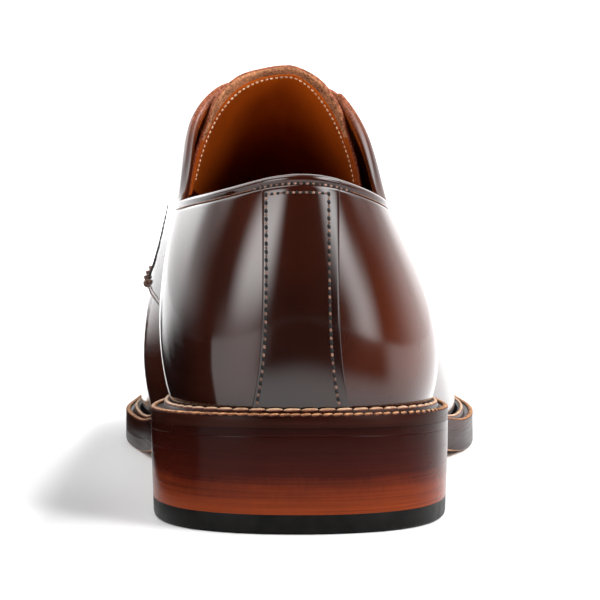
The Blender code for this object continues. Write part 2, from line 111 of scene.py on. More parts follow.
walls = tableSplines(
    last["lateral"] + last["medial"][::-1],
    ["along", "across", "swell", "rise", "lean", "reach", "drop", "margin"], ringSpline,
)
crest = tableSplines(
    last["spine"] + last["spine"][-2:0:-1], ["along", "across", "height", "fall"], ringSpline
)
collarAlong = [row[0] for row in last["topline"]]
collarHeight = [
    spline(collarAlong, [row[side] * last["backHeight"] for row in last["topline"]]) for side in (1, 2)
]
throatGap = spline(*zip(*last["throat"]))
spineAlong = [row[0] * last["length"] for row in last["spine"]]
spineAcross = spline(spineAlong, [row[1] * last["ballWidth"] for row in last["spine"]])
spineHeight = spline(spineAlong, [row[2] * last["instep"] for row in last["spine"]])


def smooth(share):
    share = np.clip(share, 0, 1)
    return share * share * (3 - 2 * share)


def treadHeight(y):
    start, end = last["tread"]
    run = start - last["shank"]
    share = np.clip((y - last["shank"]) / run, 0, 1)
    seat = last["heel"] - last["pitch"] * np.minimum(y, last["shank"])
    arch = seat * (1 - smooth(share)) - last["pitch"] * run * share * (1 - share) ** 2
    return arch + last["toeSpring"] * (np.clip(y - end, 0, None) / (last["length"] - end)) ** 2


def seatHeight(y):
    return treadHeight(y) + last["outsole"] + last["clearance"]


def feather(p):
    def plan(q):
        return np.stack([walls["across"](q) * last["ballWidth"], walls["along"](q) * last["length"]], -1)

    tangent = plan(p + 1e-3) - plan(p - 1e-3)
    outward = np.stack([tangent[..., 1], -tangent[..., 0]], -1)
    return plan(p), outward / np.linalg.norm(outward, axis=-1, keepdims=True)


def lastPoint(p, t):
    p, t = np.broadcast_arrays(np.asarray(p, float), np.asarray(t, float))
    plan, outward = feather(p)
    foot = np.concatenate([plan, seatHeight(plan[..., 1])[..., None]], -1)
    top = np.stack(
        [crest["across"](p) * last["ballWidth"], crest["along"](p) * last["length"],
         crest["height"](p) * last["instep"]], -1,
    )
    lean = np.stack([0 * p, walls["lean"](p), walls["rise"](p)], -1)
    outward = np.concatenate([outward, np.zeros_like(foot[..., :1])], -1)
    aboveFoot = foot + walls["swell"](p)[..., None] * outward + lean
    away = foot[..., :2] - top[..., :2]
    away = walls["reach"](p)[..., None] * away / np.linalg.norm(away, axis=-1, keepdims=True)
    fall = crest["fall"](p) * away[..., 1] - walls["drop"](p)
    belowTop = top + np.concatenate([away, fall[..., None]], -1)
    t = t[..., None]
    return (1 - t) ** 3 * foot + 3 * t * (1 - t) ** 2 * aboveFoot + 3 * t**2 * (1 - t) * belowTop + t**3 * top


def unit(v):
    return v / np.maximum(np.linalg.norm(v, axis=-1, keepdims=True), 1e-12)


def lastNormal(p, t):
    t = np.clip(t, 0, 0.99)
    around = lastPoint(p + 1e-3, t) - lastPoint(p - 1e-3, t)
    upward = lastPoint(p, t + 1e-3) - lastPoint(p, t - 1e-3)
    return unit(np.cross(around, upward))


def surface(p, t, offset):
    p, t, offset = np.broadcast_arrays(p, t, offset)
    return lastPoint(p, t) + offset[..., None] * lastNormal(p, t)


def inOpening(points, lateral):
    x, y, z = points[..., 0], points[..., 1], points[..., 2]
    top, foot = last["throat"][0][0], last["throat"][-1][0]
    overCollar = (y < top) & (z > np.where(lateral, collarHeight[0](y), collarHeight[1](y)))
    roundEnd = np.sqrt(np.clip(1 - (np.clip(y - foot, 0, None) / last["throatRound"]) ** 2, 0, 1))
    gap = throatGap(np.minimum(y, foot)) * roundEnd
    return overCollar | ((y >= top) & (np.abs(x - spineAcross(y)) < gap))


def edgesOf(ps):  # t of the collar or throat edge on each section, 1 where the upper is closed
    ps = np.mod(np.atleast_1d(np.asarray(ps, float)), ringSize)
    lateral = (ps <= stations)[:, None]
    low, high, rows = np.zeros(len(ps)), np.ones(len(ps)), np.arange(len(ps))
    closed = None
    for count in (301, 15, 15, 15):
        ts = low[:, None] + (high - low)[:, None] * np.linspace(0, 1, count)
        inside = inOpening(lastPoint(ps[:, None], ts), lateral)
        closed = ~inside.any(axis=1) if closed is None else closed
        first = np.maximum(np.argmax(inside, axis=1), 1)
        low, high = ts[rows, first - 1], ts[rows, first]
    return np.where(closed, 1.0, high)


def sections(ps, starts):  # tables of arc length down each section and the t it is at
    ts = np.asarray(starts, float)[:, None] * np.linspace(1, 0, 240)
    run = np.linalg.norm(np.diff(lastPoint(np.asarray(ps)[:, None], ts), axis=1), axis=2)
    return np.concatenate([np.zeros((len(ts), 1)), np.cumsum(run, axis=1)], axis=1), ts


def tBelow(ps, starts, distances):  # t at a distance down from each start, one row per section
    distances = np.broadcast_to(distances, (len(ps), np.shape(distances)[-1] if np.ndim(distances) else 1))
    return np.array([np.interp(d, run, ts) for d, run, ts in zip(distances, *sections(ps, starts))])


def footT(ps, rise):  # t at a rise above the feather line
    fine = np.linspace(0, 0.4, 160)
    heights = lastPoint(np.atleast_1d(ps)[:, None], fine)[..., 2]
    return np.array([np.interp(rise, row - row[0], fine) for row in heights])


def soleRing(p, standOut, height):
    plan, outward = feather(p)
    edge = plan + np.asarray(standOut)[..., None] * outward
    return np.concatenate([edge, (treadHeight(edge[:, 1]) + height)[:, None]], 1)


coarseRing = np.linspace(0, stations, stations * 5 + 1)
coarseRing = np.concatenate([coarseRing, ringSize - coarseRing[-2:0:-1]])
outline = soleRing(coarseRing, walls["margin"](coarseRing), 0)[:, :2]
middle = np.array([*((outline.min(axis=0) + outline.max(axis=0)) / 2), 0])
print("last set up, outline middle", middle.round(2).tolist())


class Link:  # a socket that takes part in Python expressions
    def __init__(self, finish, socket):
        self.finish, self.socket = finish, socket

    def __add__(self, other):
        return self.finish.sum("ADD", self, other)

    def __radd__(self, other):
        return self.finish.sum("ADD", other, self)

    def __sub__(self, other):
        return self.finish.sum("SUBTRACT", self, other)

    def __rsub__(self, other):
        return self.finish.sum("SUBTRACT", other, self)

    def __mul__(self, other):
        return self.finish.sum("MULTIPLY", self, other)

    def __rmul__(self, other):
        return self.finish.sum("MULTIPLY", other, self)


class Graph:
    def __init__(self, tree):
        self.tree = tree

    def plug(self, socket, value):
        if isinstance(value, Link):
            self.tree.links.new(value.socket, socket)
        elif hasattr(socket.default_value, "__len__") and len(value) == 3 and len(socket.default_value) == 4:
            socket.default_value = (*value, 1)
        else:
            socket.default_value = value

    def node(self, kind, settings=None, inputs=None, output=0):
        made = self.tree.nodes.new("ShaderNode" + kind)
        for key, value in (settings or {}).items():
            if key == "stops":
                ramp = made.color_ramp.elements
                while len(ramp) < len(value):
                    ramp.new(0.5)
                for element, (position, colour) in zip(ramp, value):
                    element.position, element.color = position, (*colour, 1)
            else:
                setattr(made, key, value)
        for key, value in (inputs or {}).items():
            self.plug(made.inputs[key], value)
        return Link(self, made.outputs[output])

    def sum(self, operation, first, second):
        return self.node("Math", {"operation": operation}, {0: first, 1: second})

    def clamp(self, value, low, high):
        return self.node("MapRange", {}, {0: value, 1: low, 2: high})

    def mix(self, share, first, second):
        return self.node("Mix", {"data_type": "RGBA"}, {0: share, 6: first, 7: second}, 2)

    def smoothStep(self, value, low, high):
        return self.node("MapRange", {"interpolation_type": "SMOOTHSTEP"}, {0: value, 1: low, 2: high})


class Finish(Graph):
    def __init__(self, name):
        self.material = bpy.data.materials.new(name)
        self.material.use_nodes = True
        super().__init__(self.material.node_tree)
        self.tree.nodes.clear()
        self.shader = self.tree.nodes.new("ShaderNodeBsdfPrincipled")
        out = self.tree.nodes.new("ShaderNodeOutputMaterial")
        self.tree.links.new(self.shader.outputs[0], out.inputs[0])

    def place(self, scale=(1, 1, 1)):
        where = self.node("TexCoord", output="Object")
        return self.node("VectorMath", {"operation": "MULTIPLY"}, {0: where, 1: scale})

    def noise(self, scale, detail=2.0, stretch=(1, 1, 1), rough=0.5):
        inputs = {"Vector": self.place(stretch), "Scale": scale, "Detail": detail, "Roughness": rough}
        return self.node("TexNoise", {}, inputs)

    def cells(self, scale):
        return self.node("TexVoronoi", {}, {"Vector": self.place(), "Scale": scale})

    def height(self):  # millimetres above the floor
        return self.node("SeparateXYZ", {}, {0: self.node("TexCoord", output="Object")}, 2) * 1000

    def mark(self, name):
        return self.node("Attribute", {"attribute_name": name}, output="Fac")

    def bump(self, height, distance, strength=1.0, under=None):
        inputs = {"Height": height, "Distance": distance, "Strength": strength}
        if under:
            inputs["Normal"] = under
        return self.node("Bump", {}, inputs)

    def set(self, **values):
        for key, value in values.items():
            self.plug(self.shader.inputs[key.replace("_", " ")], value)
        return self.material


# light is the colour of the painted light patch; deep is the dark colour of burnishing and of painted shade
calf = {
    "deep": (0.0045, 0.0009, 0.0006), "brown": (0.0125, 0.0021, 0.0009),
    "warm": (0.044, 0.0074, 0.0022), "light": (0.098, 0.0190, 0.0055),
    "cut": (0.44, 0.150, 0.078), "cutDark": (0.150, 0.040, 0.019), "burnish": 0.85,
    "roughness": 0.45, "coat": 1.0, "coatRoughness": 0.10, "grainDepth": 0.00009, "waveDepth": 0.0005,
}


def calfFinish(name):
    f = Finish(name)
    clouds = f.noise(14, 3.0)
    streaks = f.noise(60, 4.0, (1, 1, 0.4))
    tone = f.clamp(clouds * 0.75 + streaks * 0.25, 0.38, 0.66)
    colour = f.mix(tone, calf["brown"], calf["warm"])
    # rubbed lightens the leather: painted light on the lateral side, lighter leather by the facings and at the back
    # of the vamp
    colour = f.mix(f.mark("rubbed"), colour, calf["light"])
    # burnish darkens the leather: burnishing at edges and toe, painted shade on the medial side and towards the welt
    colour = f.mix(f.mark("burnish") * calf["burnish"], colour, calf["deep"])
    speck = f.noise(1300, 4.0)
    cut = f.mark("cut")
    colour = f.mix(cut, colour, f.mix(f.clamp(speck, 0.36, 0.64), calf["cutDark"], calf["cut"]))
    grain = f.noise(900, 3.0) * 0.6 + f.cells(1500) * 0.4
    fine = f.bump(grain, calf["grainDepth"], 0.5)
    waves = f.bump(f.noise(110, 2.0), calf["waveDepth"], 0.10, fine)
    rough = calf["roughness"] + 0.10 * (f.noise(70, 3.0) - 0.5)
    return f.set(Base_Color=colour, Roughness=rough, Normal=waves, Coat_Weight=calf["coat"] * (1 - cut),
                 Coat_Roughness=calf["coatRoughness"], Specular_IOR_Level=0.03)


liningTones = {  # deep is what is left of the colours low down in the shoe: painted shade, the lining darkens below the heights in between
    "light": (0.66, 0.128, 0.0065), "dark": (0.45, 0.076, 0.0040), "deep": 0.34, "between": (70, 112),
}


def liningFinish(name):
    f = Finish(name)
    dark, light = liningTones["dark"], liningTones["light"]
    tone = f.clamp(f.noise(45, 4.0), 0.35, 0.7)
    # painted shade: the lining darkens low down in the shoe
    deep = f.mix(tone, *(tuple(c * liningTones["deep"] for c in colour) for colour in (dark, light)))
    base = f.mix(f.clamp(f.height(), *liningTones["between"]), deep, f.mix(tone, dark, light))
    grain = f.bump(f.noise(1100, 3.0) * 0.5 + f.cells(1300) * 0.5, 0.00007, 0.45)
    return f.set(Base_Color=base, Roughness=0.5 + 0.15 * tone, Normal=grain, Specular_IOR_Level=0.12)


def rawFinish(name, dark, light):  # cut leather edge, rough and speckled
    f = Finish(name)
    speck = f.noise(1500, 4.0)
    tone = f.clamp(speck * 0.6 + f.noise(160, 3.0) * 0.4, 0.35, 0.68)
    base = f.mix(tone, dark, light)
    return f.set(Base_Color=base, Roughness=0.75 + 0.1 * tone, Normal=f.bump(speck, 0.00025, 0.7),
                 Specular_IOR_Level=0.2)


def threadFinish(name, dark, light, under=None):
    f = Finish(name)
    tone = f.clamp(f.noise(700, 3.0), 0.35, 0.68)
    base = f.mix(tone, dark, light)
    if under:  # painted light and shade: the upward-facing crown of the stitch keeps its colour, the sides turn to the dark under colour
        upward = f.node("SeparateXYZ", {}, {0: f.node("NewGeometry", output="Normal")}, 2)
        base = f.mix(f.clamp(upward, 0.15, 0.75), under, base)
    fibre = f.bump(f.noise(2600, 2.0), 0.00006, 0.6)
    return f.set(Base_Color=base, Roughness=0.5 + 0.1 * tone, Normal=fibre, Specular_IOR_Level=0.3)


def soleFinish(name, dark, light):
    f = Finish(name)
    lines = f.noise(1.0, 4.0, (25, 25, 1600))
    cloud = f.noise(38, 3.0)
    tone = f.clamp(lines * 0.55 + cloud * 0.45, 0.34, 0.66)
    base = f.mix(tone, dark, light)
    relief = f.bump(lines, 0.00012, 0.4)
    return f.set(Base_Color=base, Roughness=0.24 + 0.16 * tone, Normal=relief, Specular_IOR_Level=0.05)


stack = {  # stops by height, from the rubber up to the outsole
    "low": 4.5, "high": 27.0,
    "stops": [
        (0.0, (0.185, 0.031, 0.0074)), (0.23, (0.118, 0.0180, 0.0050)), (0.44, (0.036, 0.0048, 0.0024)),
        (0.65, (0.024, 0.0034, 0.0020)), (0.87, (0.017, 0.0028, 0.0018)), (1.0, (0.0085, 0.0022, 0.0016)),
    ],
    "line": (0.012, 0.0030, 0.0022),
}


def heelFinish(name):
    f = Finish(name)
    lines = f.noise(1.0, 5.0, (14, 14, 1700), 0.62)
    cloud = f.noise(1.0, 3.0, (60, 60, 110))
    mottle = f.noise(1.0, 3.0, (900, 900, 420))
    level = f.height() + 4.0 * (cloud - 0.5) + 3.4 * (lines - 0.5) + 2.0 * (mottle - 0.5)
    base = f.node("ValToRGB", {"stops": stack["stops"]}, {0: f.clamp(level, stack["low"], stack["high"])})
    base = f.mix(f.clamp(lines, 0.46, 0.78) * 0.6, base, stack["line"])
    relief = f.bump(lines, 0.00008, 0.3)
    return f.set(Base_Color=base, Roughness=0.13 + 0.12 * lines, Normal=relief, Specular_IOR_Level=0.05)


def rubberFinish(name, dark, light):
    f = Finish(name)
    tone = f.clamp(f.noise(300, 3.0), 0.3, 0.7)
    base = f.mix(tone, dark, light)
    grain = f.bump(f.noise(2200, 2.0), 0.00006, 0.5)
    return f.set(Base_Color=base, Roughness=0.36 + 0.12 * tone, Normal=grain, Specular_IOR_Level=0.08)


def underFinish(name, dark, light):  # walking side of the leather outsole
    f = Finish(name)
    fibre = f.noise(1.0, 4.0, (700, 260, 700))
    tone = f.clamp(fibre * 0.5 + f.noise(30, 4.0) * 0.5, 0.33, 0.68)
    base = f.mix(tone, dark, light)
    return f.set(Base_Color=base, Roughness=0.5 + 0.15 * tone, Normal=f.bump(fibre, 0.0001, 0.4))


def bronzeFinish(name, dark, light):
    f = Finish(name)
    tone = f.clamp(f.noise(600, 3.0), 0.3, 0.7)
    base = f.mix(tone, dark, light)
    return f.set(Base_Color=base, Roughness=0.28 + 0.15 * tone, Metallic=1.0)


def laceFinish(name, dark, light):
    f = Finish(name)
    along, around = f.mark("along"), f.mark("around")
    braid = f.node("Math", {"operation": "SINE"}, {0: along * 5.2 + around * 3.0})
    cross = f.node("Math", {"operation": "SINE"}, {0: along * 5.2 - around * 3.0})
    weave = braid * cross
    base = f.mix(f.clamp(weave, -1.0, 1.0), dark, light)
    return f.set(Base_Color=base, Roughness=0.5 + 0.1 * weave, Normal=f.bump(weave, 0.00025, 0.8))


finishes = {
    "calf": calfFinish("calf_polished"),
    "lining": liningFinish("lining_tan"),
    "raw": rawFinish("leather_raw_edge", (0.110, 0.032, 0.015), (0.80, 0.36, 0.17)),
    "darkThread": threadFinish("thread_dark", (0.040, 0.016, 0.011), (0.24, 0.13, 0.09)),
    "creamThread": threadFinish("thread_cream", (0.62, 0.36, 0.20), (0.96, 0.74, 0.52)),
    "topThread": threadFinish("thread_top", (0.07, 0.030, 0.020), (0.34, 0.20, 0.15)),
    # the third colour of these threads is painted shade on the sides of the stitches
    "beadThread": threadFinish("thread_bead", (0.36, 0.19, 0.10), (0.66, 0.44, 0.28), (0.10, 0.022, 0.009)),
    "edgeThread": threadFinish("thread_edge", (0.22, 0.085, 0.028), (0.60, 0.29, 0.12), (0.09, 0.022, 0.009)),
    # near-black finish for the stitch holes and the crease line by the facings: painted shade
    "hole": threadFinish("stitch_hole_shade", (0.0012, 0.0008, 0.0006), (0.003, 0.002, 0.0015)),
    "welt": soleFinish("welt_brown", (0.009, 0.0026, 0.0019), (0.027, 0.0060, 0.0032)),
    "sole": soleFinish("sole_edge", (0.007, 0.0020, 0.0017), (0.020, 0.0046, 0.0032)),
    "heel": heelFinish("heel_stack"),
    "rubber": rubberFinish("rubber_black", (0.0022, 0.0020, 0.0018), (0.0060, 0.0055, 0.0050)),
    "under": underFinish("sole_underside", (0.20, 0.085, 0.036), (0.42, 0.21, 0.10)),
    "bronze": bronzeFinish("eyelet_bronze", (0.09, 0.045, 0.022), (0.21, 0.115, 0.060)),
    "lace": laceFinish("lace_waxed", (0.012, 0.0045, 0.003), (0.050, 0.020, 0.011)),
}
print("finishes made:", len(finishes))


def inScene(points):  # metres from the middle of the outline
    return (np.asarray(points, float) - middle) * 0.001


def addObject(name, data):
    made = bpy.data.objects.new(name, data)
    bpy.context.scene.collection.objects.link(made)
    return made


def setMark(mesh, name, values):  # one value for each point, read by the finishes
    layer = mesh.attributes.new(name, "FLOAT", "POINT")
    layer.data.foreach_set("value", np.asarray(values, np.float32).ravel())


def makePiece(name, points, faces, finish, marks=None, sharp=35, weld=0.0, second=()):
    mesh = bpy.data.meshes.new(name)
    mesh.from_pydata(inScene(np.asarray(points, float).reshape(-1, 3)).tolist(), [], faces)
    for key, values in (marks or {}).items():
        setMark(mesh, key, values)
    for index in second:
        mesh.polygons[index].material_index = 1
    kept = bmesh.new()
    kept.from_mesh(mesh)
    if weld:
        bmesh.ops.remove_doubles(kept, verts=kept.verts, dist=weld * 0.001)
    bmesh.ops.recalc_face_normals(kept, faces=kept.faces)
    kept.to_mesh(mesh)
    kept.free()
    mesh.shade_smooth()
    mesh.set_sharp_from_angle(angle=math.radians(sharp))
    for each in finish if isinstance(finish, list) else [finish]:
        mesh.materials.append(finishes[each])
    piece = addObject(name, mesh)
    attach(piece, "root")
    return piece


def gridFaces(rows, columns, start=0, closeRows=False, closeColumns=False):
    faces = []
    for i in range(rows - (not closeRows)):
        k = (i + 1) % rows
        for j in range(columns - (not closeColumns)):
            m = (j + 1) % columns
            faces.append([start + i * columns + j, start + i * columns + m, start + k * columns + m,
                          start + k * columns + j])
    return faces


def capFaces(count, start):  # rungs across a ring whose halves run side by side
    faces = []
    for i in range(count // 2):
        corners = [start + i, start + i + 1, start + (count - i - 1) % count, start + (count - i) % count]
        faces.append(list(dict.fromkeys(corners)))
    return faces


def ringOf(perStation):
    half = np.linspace(0, stations, stations * perStation + 1)
    return np.concatenate([half, ringSize - half[-2:0:-1]])


def edgeRound(distance, radius):  # 0 at a cut edge, 1 from radius inwards
    inside = np.clip(distance / radius, 0, 1)
    return np.sqrt(np.clip(1 - (1 - inside) ** 2, 0, 1))


collar = {
    "roll": 0.35, "rollAt": 1.0, "rollWidth": 1.3, "crease": 0.5, "creaseAt": 2.5, "creaseWidth": 0.55,
    "rim": 1.3, "fadeFrom": 3.5, "fadeTo": 4.1, "facingRows": (1.7, 4.3), "rowDepth": 0.18, "rowWidth": 0.45,
}


def onCollar(p):  # 1 round the collar, 0 along the facings
    away = np.minimum(np.mod(p, ringSize), ringSize - np.mod(p, ringSize))
    return 1 - smooth((away - collar["fadeFrom"]) / (collar["fadeTo"] - collar["fadeFrom"]))


def collarShape(p, s):  # swell of the rolled edge and the sewn crease below it, s below the rim
    roll = collar["roll"] * np.exp(-(((s - collar["rollAt"]) / collar["rollWidth"]) ** 2))
    crease = collar["crease"] * np.exp(-(((s - collar["creaseAt"]) / collar["creaseWidth"]) ** 2))
    depth, width = collar["rowDepth"], collar["rowWidth"]
    facing = sum(depth * np.exp(-(((s - row) / width) ** 2)) for row in collar["facingRows"])
    share = onCollar(p)
    return share * (roll - crease) - (1 - share) * facing


quarters = {
    "perStation": 30, "rimSteps": 8, "rows": 26, "perStationLength": 30.0,
    "nearEdge": [1.5, 1.8, 2.1, 2.35, 2.6, 2.9, 3.2, 3.5, 3.8, 4.3, 5.0, 6.2, 8.0, 10.0],
    "thick": 1.2, "edgeRadius": 0.8, "footRise": 2.2, "frontRows": (1.7, 4.0), "rowDepth": 0.16, "rowWidth": 0.45,
    # footBurnishAndShade darkens the upper towards the welt: painted shade at the joint, with burnishing. rimBurnish
    # darkens along the collar crease, frontBurnish by the front edge
    "footBurnishAndShade": (0.9, 16), "rimBurnish": (0.6, 1.2), "frontBurnish": (0.5, 6),  # strength and reach
    "sweep": 2.2, "sweepOver": (0.08, 0.52), "sweepAhead": 3.4, "vampLift": 0.7,
    # medialShade is painted shade on the medial side; rubbed is painted light on the lateral side, faded towards the
    # toe by litFade; facing lightens the leather near the facings
    "medialShade": (0.8, -37, 17, 42, 24), "rubbed": (0.75, 36, 19, 58, 30),  # strength, x and spread, height and spread
    "litFade": (0.75, 55, 70), "facing": (0.9, 84, 26, 9),  # strength, start and run along the shoe, reach down
}


def sweepShare(p, t):  # 1 at the foot of the front edge of the quarters, 0 away from it
    away = np.minimum(p, ringSize - p)
    behind, ahead = (away - 1) / (last["quarterEdge"] - 1), (away - last["quarterEdge"]) / quarters["sweepAhead"]
    low, high = quarters["sweepOver"]
    return np.where(ahead < 0, smooth(behind), 1 - smooth(ahead)) * (1 - smooth((np.asarray(t) - low) / (high - low)))


def swept(p, t):  # ring positions moved back towards the sole, most at the front edge of the quarters
    p = np.mod(np.asarray(p, float), ringSize)
    return p - np.where(p > stations, -1, 1) * quarters["sweep"] * sweepShare(p, t)


def patch(points, strength, x, wide, z, high):  # soft oval on the sides of the shoe, for patches of painted shade and painted light
    return strength * np.exp(-(((points[..., 0] - x) / wide) ** 2) - ((points[..., 2] - z) / high) ** 2)


def buildQuarters():
    edge, rim = last["quarterEdge"], collar["rim"]
    fine = np.array([0, 0.002, 0.006, 0.012, 0.02, 0.03, 0.045, 0.065])
    half = np.unique(np.concatenate([np.linspace(0, edge - 0.09, int(edge * quarters["perStation"])), edge - fine]))
    ps = np.concatenate([-half[::-1], half[1:]])
    angles = np.linspace(0.25, math.pi, quarters["rimSteps"])
    rimDown, rimOut = rim * (1 - np.sin(angles)), quarters["thick"] - rim - rim * np.cos(angles)
    near = np.array(quarters["nearEdge"])
    (foot, footReach), (seamed, seamReach) = quarters["footBurnishAndShade"], quarters["rimBurnish"]
    front, frontReach = quarters["frontBurnish"]
    outs, burnish, cuts, ts, downs = [], [], [], [], []
    for p, low, run, table in zip(ps, footT(ps, quarters["footRise"]), *sections(ps, edgesOf(ps))):
        low = np.interp(low, table[::-1], run[::-1])
        down = np.concatenate([rimDown, near, np.linspace(near[-1], low, quarters["rows"])[1:]])
        out = np.concatenate([rimOut, np.full(len(down) - len(rimOut), quarters["thick"])])
        out = out + np.where(np.arange(len(out)) >= len(rimOut) // 2, collarShape(p, down), 0)
        fromFront = (edge - abs(p)) * quarters["perStationLength"]
        out = np.where(out > 0, out * edgeRound(fromFront, quarters["edgeRadius"]), out)
        groove = sum(math.exp(-(((fromFront - row) / quarters["rowWidth"]) ** 2)) for row in quarters["frontRows"])
        outs.append(out - quarters["rowDepth"] * groove * (down > 2))
        downs.append(down)
        ts.append(np.interp(down, run, table))
        onEdge = (np.arange(len(down)) < len(rimOut) - 1) * (1 - onCollar(p))
        cuts.append(np.maximum(onEdge, float(fromFront < 0.3)))
        toFoot = foot * np.clip(1 - (low - down) / footReach, 0, 1) ** 2
        toRim = seamed * np.exp(-(((down - collar["creaseAt"]) / seamReach) ** 2))
        burnish.append(np.clip(toFoot + toRim + front * math.exp(-((fromFront / frontReach) ** 2)), 0, 1))
    points = surface(swept(ps[:, None], ts), np.array(ts), np.array(outs))
    fade, start, run = quarters["litFade"]
    # painted light on the lateral side, together with lighter leather near the facings
    rubbed = patch(points, *quarters["rubbed"]) * (1 - fade * smooth((points[..., 1] - start) / run))
    share, start, run, below = quarters["facing"]
    facing = share * smooth((points[..., 1] - start) / run) * np.exp(-((np.array(downs) / below) ** 2))
    # painted shade on the medial side
    medialShade = patch(points, *quarters["medialShade"])
    marks = {"burnish": np.maximum(burnish, medialShade), "cut": cuts, "rubbed": np.maximum(rubbed, facing)}
    piece = makePiece("quarters", points, gridFaces(*points.shape[:2]), "calf", marks)
    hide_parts("upper")


vamp = {
    # footBurnishAndShade is painted shade towards the welt, with burnishing; toeBurnish darkens towards the toe;
    # rubbed lightens the vamp towards the back, on the mark that carries the painted light of the quarters
    "perStation": 22, "rows": 40, "under": 0.28, "edge": 0.8, "footBurnishAndShade": (0.8, 14), "frontBurnish": (0.5, 7),
    "toeBurnish": (0.75, 235, 60), "rubbed": (0.25, 130, 110),  # strength, start and run along the shoe
}


def buildVamp():
    start, count = last["quarterEdge"] - vamp["under"], vamp["rows"]
    half = np.unique(np.concatenate([
        np.linspace(start, stations, int((stations - start) * vamp["perStation"])),
        last["quarterEdge"] + np.linspace(0, 0.45, 28)]))
    ps = np.concatenate([half, ringSize - half[-2::-1]])
    tops = edgesOf(ps)
    (toe, toeStart, toeRun), (litRub, litRubStart, litRubRun) = vamp["toeBurnish"], vamp["rubbed"]
    (foot, footReach), (front, frontReach) = vamp["footBurnishAndShade"], vamp["frontBurnish"]
    ts, outs, burnish = [], [], []
    for p, top, low, run, table in zip(ps, tops, footT(ps, quarters["footRise"]), *sections(ps, tops)):
        low = np.interp(low, table[::-1], run[::-1])
        if top < 1:  # slot of the throat: a rounded cut edge
            down = np.concatenate([[0, 0.06, 0.2, 0.45, 0.8], np.linspace(1.4, low, count - 5)])
            out = -vamp["edge"] * (1 - edgeRound(down, vamp["edge"]))
        else:
            down, out = np.linspace(0, 1, count) ** 1.15 * low, np.zeros(count)
        ts.append(np.interp(down, run, table))
        outs.append(out)
        toFoot = foot * np.clip(1 - (low - down) / footReach, 0, 1) ** 2
        toToe = toe * smooth((lastPoint(p, ts[-1])[:, 1] - toeStart) / toeRun)
        away = abs(min(p, ringSize - p) - last["quarterEdge"]) * quarters["perStationLength"]
        burnish.append(np.clip(toFoot + toToe + front * math.exp(-((away / frontReach) ** 2)), 0, 1))
    outs = np.array(outs) + quarters["vampLift"] * sweepShare(ps[:, None], ts)
    points = surface(swept(ps[:, None], ts), np.array(ts), outs)
    # darker towards the welt is partly painted shade; lighter towards the back carries the painted light mark
    marks = {"burnish": burnish, "rubbed": litRub * (1 - smooth((points[..., 1] - litRubStart) / litRubRun))}
    makePiece("vamp", points, gridFaces(*points.shape[:2]), "calf", marks, weld=0.002)


lining = {"perStation": 14, "rows": 30, "footRise": 2.6, "topDown": 0.95, "topOut": -1.45}


def buildLining():
    ps = ringOf(lining["perStation"])
    tops = edgesOf(ps)
    ts, outs = [], []
    for top, low, run, table in zip(tops, footT(ps, lining["footRise"]), *sections(ps, tops)):
        low = np.interp(low, table[::-1], run[::-1])
        first = lining["topDown"] if top < 1 else 0.0
        down = first + (low - first) * np.linspace(0, 1, lining["rows"]) ** 1.2
        ts.append(np.interp(down, run, table))
        outs.append(np.where((down <= first) & (top < 1), lining["topOut"], -last["wall"]))
    points = surface(ps[:, None], np.array(ts), np.array(outs))
    faces = gridFaces(*points.shape[:2], closeRows=True)
    makePiece("lining", points, faces, "lining", weld=0.002)


backstay = {
    "cut": [(0.0, 11.6), (0.15, 10.3), (0.4, 9.2), (0.7, 8.8), (1.0, 8.4)], "thick": 0.30, "radius": 0.6,
    "rows": 70, "reach": 1.2, "footRise": 4.6, "rimShare": 0.2, "rimOver": (1.0, 3.0),
    "insets": (1.0, 2.4), "row": 0.922,
}
stayCut = spline(*zip(*backstay["cut"]))
nearBack = np.linspace(-backstay["reach"], backstay["reach"], 400)
nearEdge = edgesOf(nearBack)
stayLow = float(footT(0.0, backstay["footRise"])[0])


def stayPlace(shares, across):  # ring positions and t on the strip, one row per share, across in millimetres
    shares, across = np.asarray(shares), np.asarray(across)
    levels = stayLow + shares * (float(np.interp(0, nearBack, nearEdge)) - stayLow)
    xs = lastPoint(nearBack[None, :], levels[:, None])[..., 0]
    p = np.array([np.interp(a, x, nearBack) for a, x in zip(across, xs)])
    return p, stayLow + shares[:, None] * (np.interp(p, nearBack, nearEdge) - stayLow)


def stayDown(p, t):  # distance below the rim
    return np.linalg.norm(lastPoint(p, t) - lastPoint(p, np.interp(p, nearBack, nearEdge)), axis=-1)


def stayLift(p, t):  # the strip dies out into the rolled edge
    share, (start, run) = backstay["rimShare"], backstay["rimOver"]
    return backstay["thick"] * (share + (1 - share) * smooth((stayDown(p, t) - start) / run))


def stayOut(p, t):  # stand-out of the quarter below the strip, round its rim and over its collar roll
    rim, down = collar["rim"], stayDown(p, t)
    angle = math.pi - np.arcsin(np.clip(1 - down / rim, 0, 1))
    return quarters["thick"] - rim - rim * np.cos(angle) + collarShape(p, down)


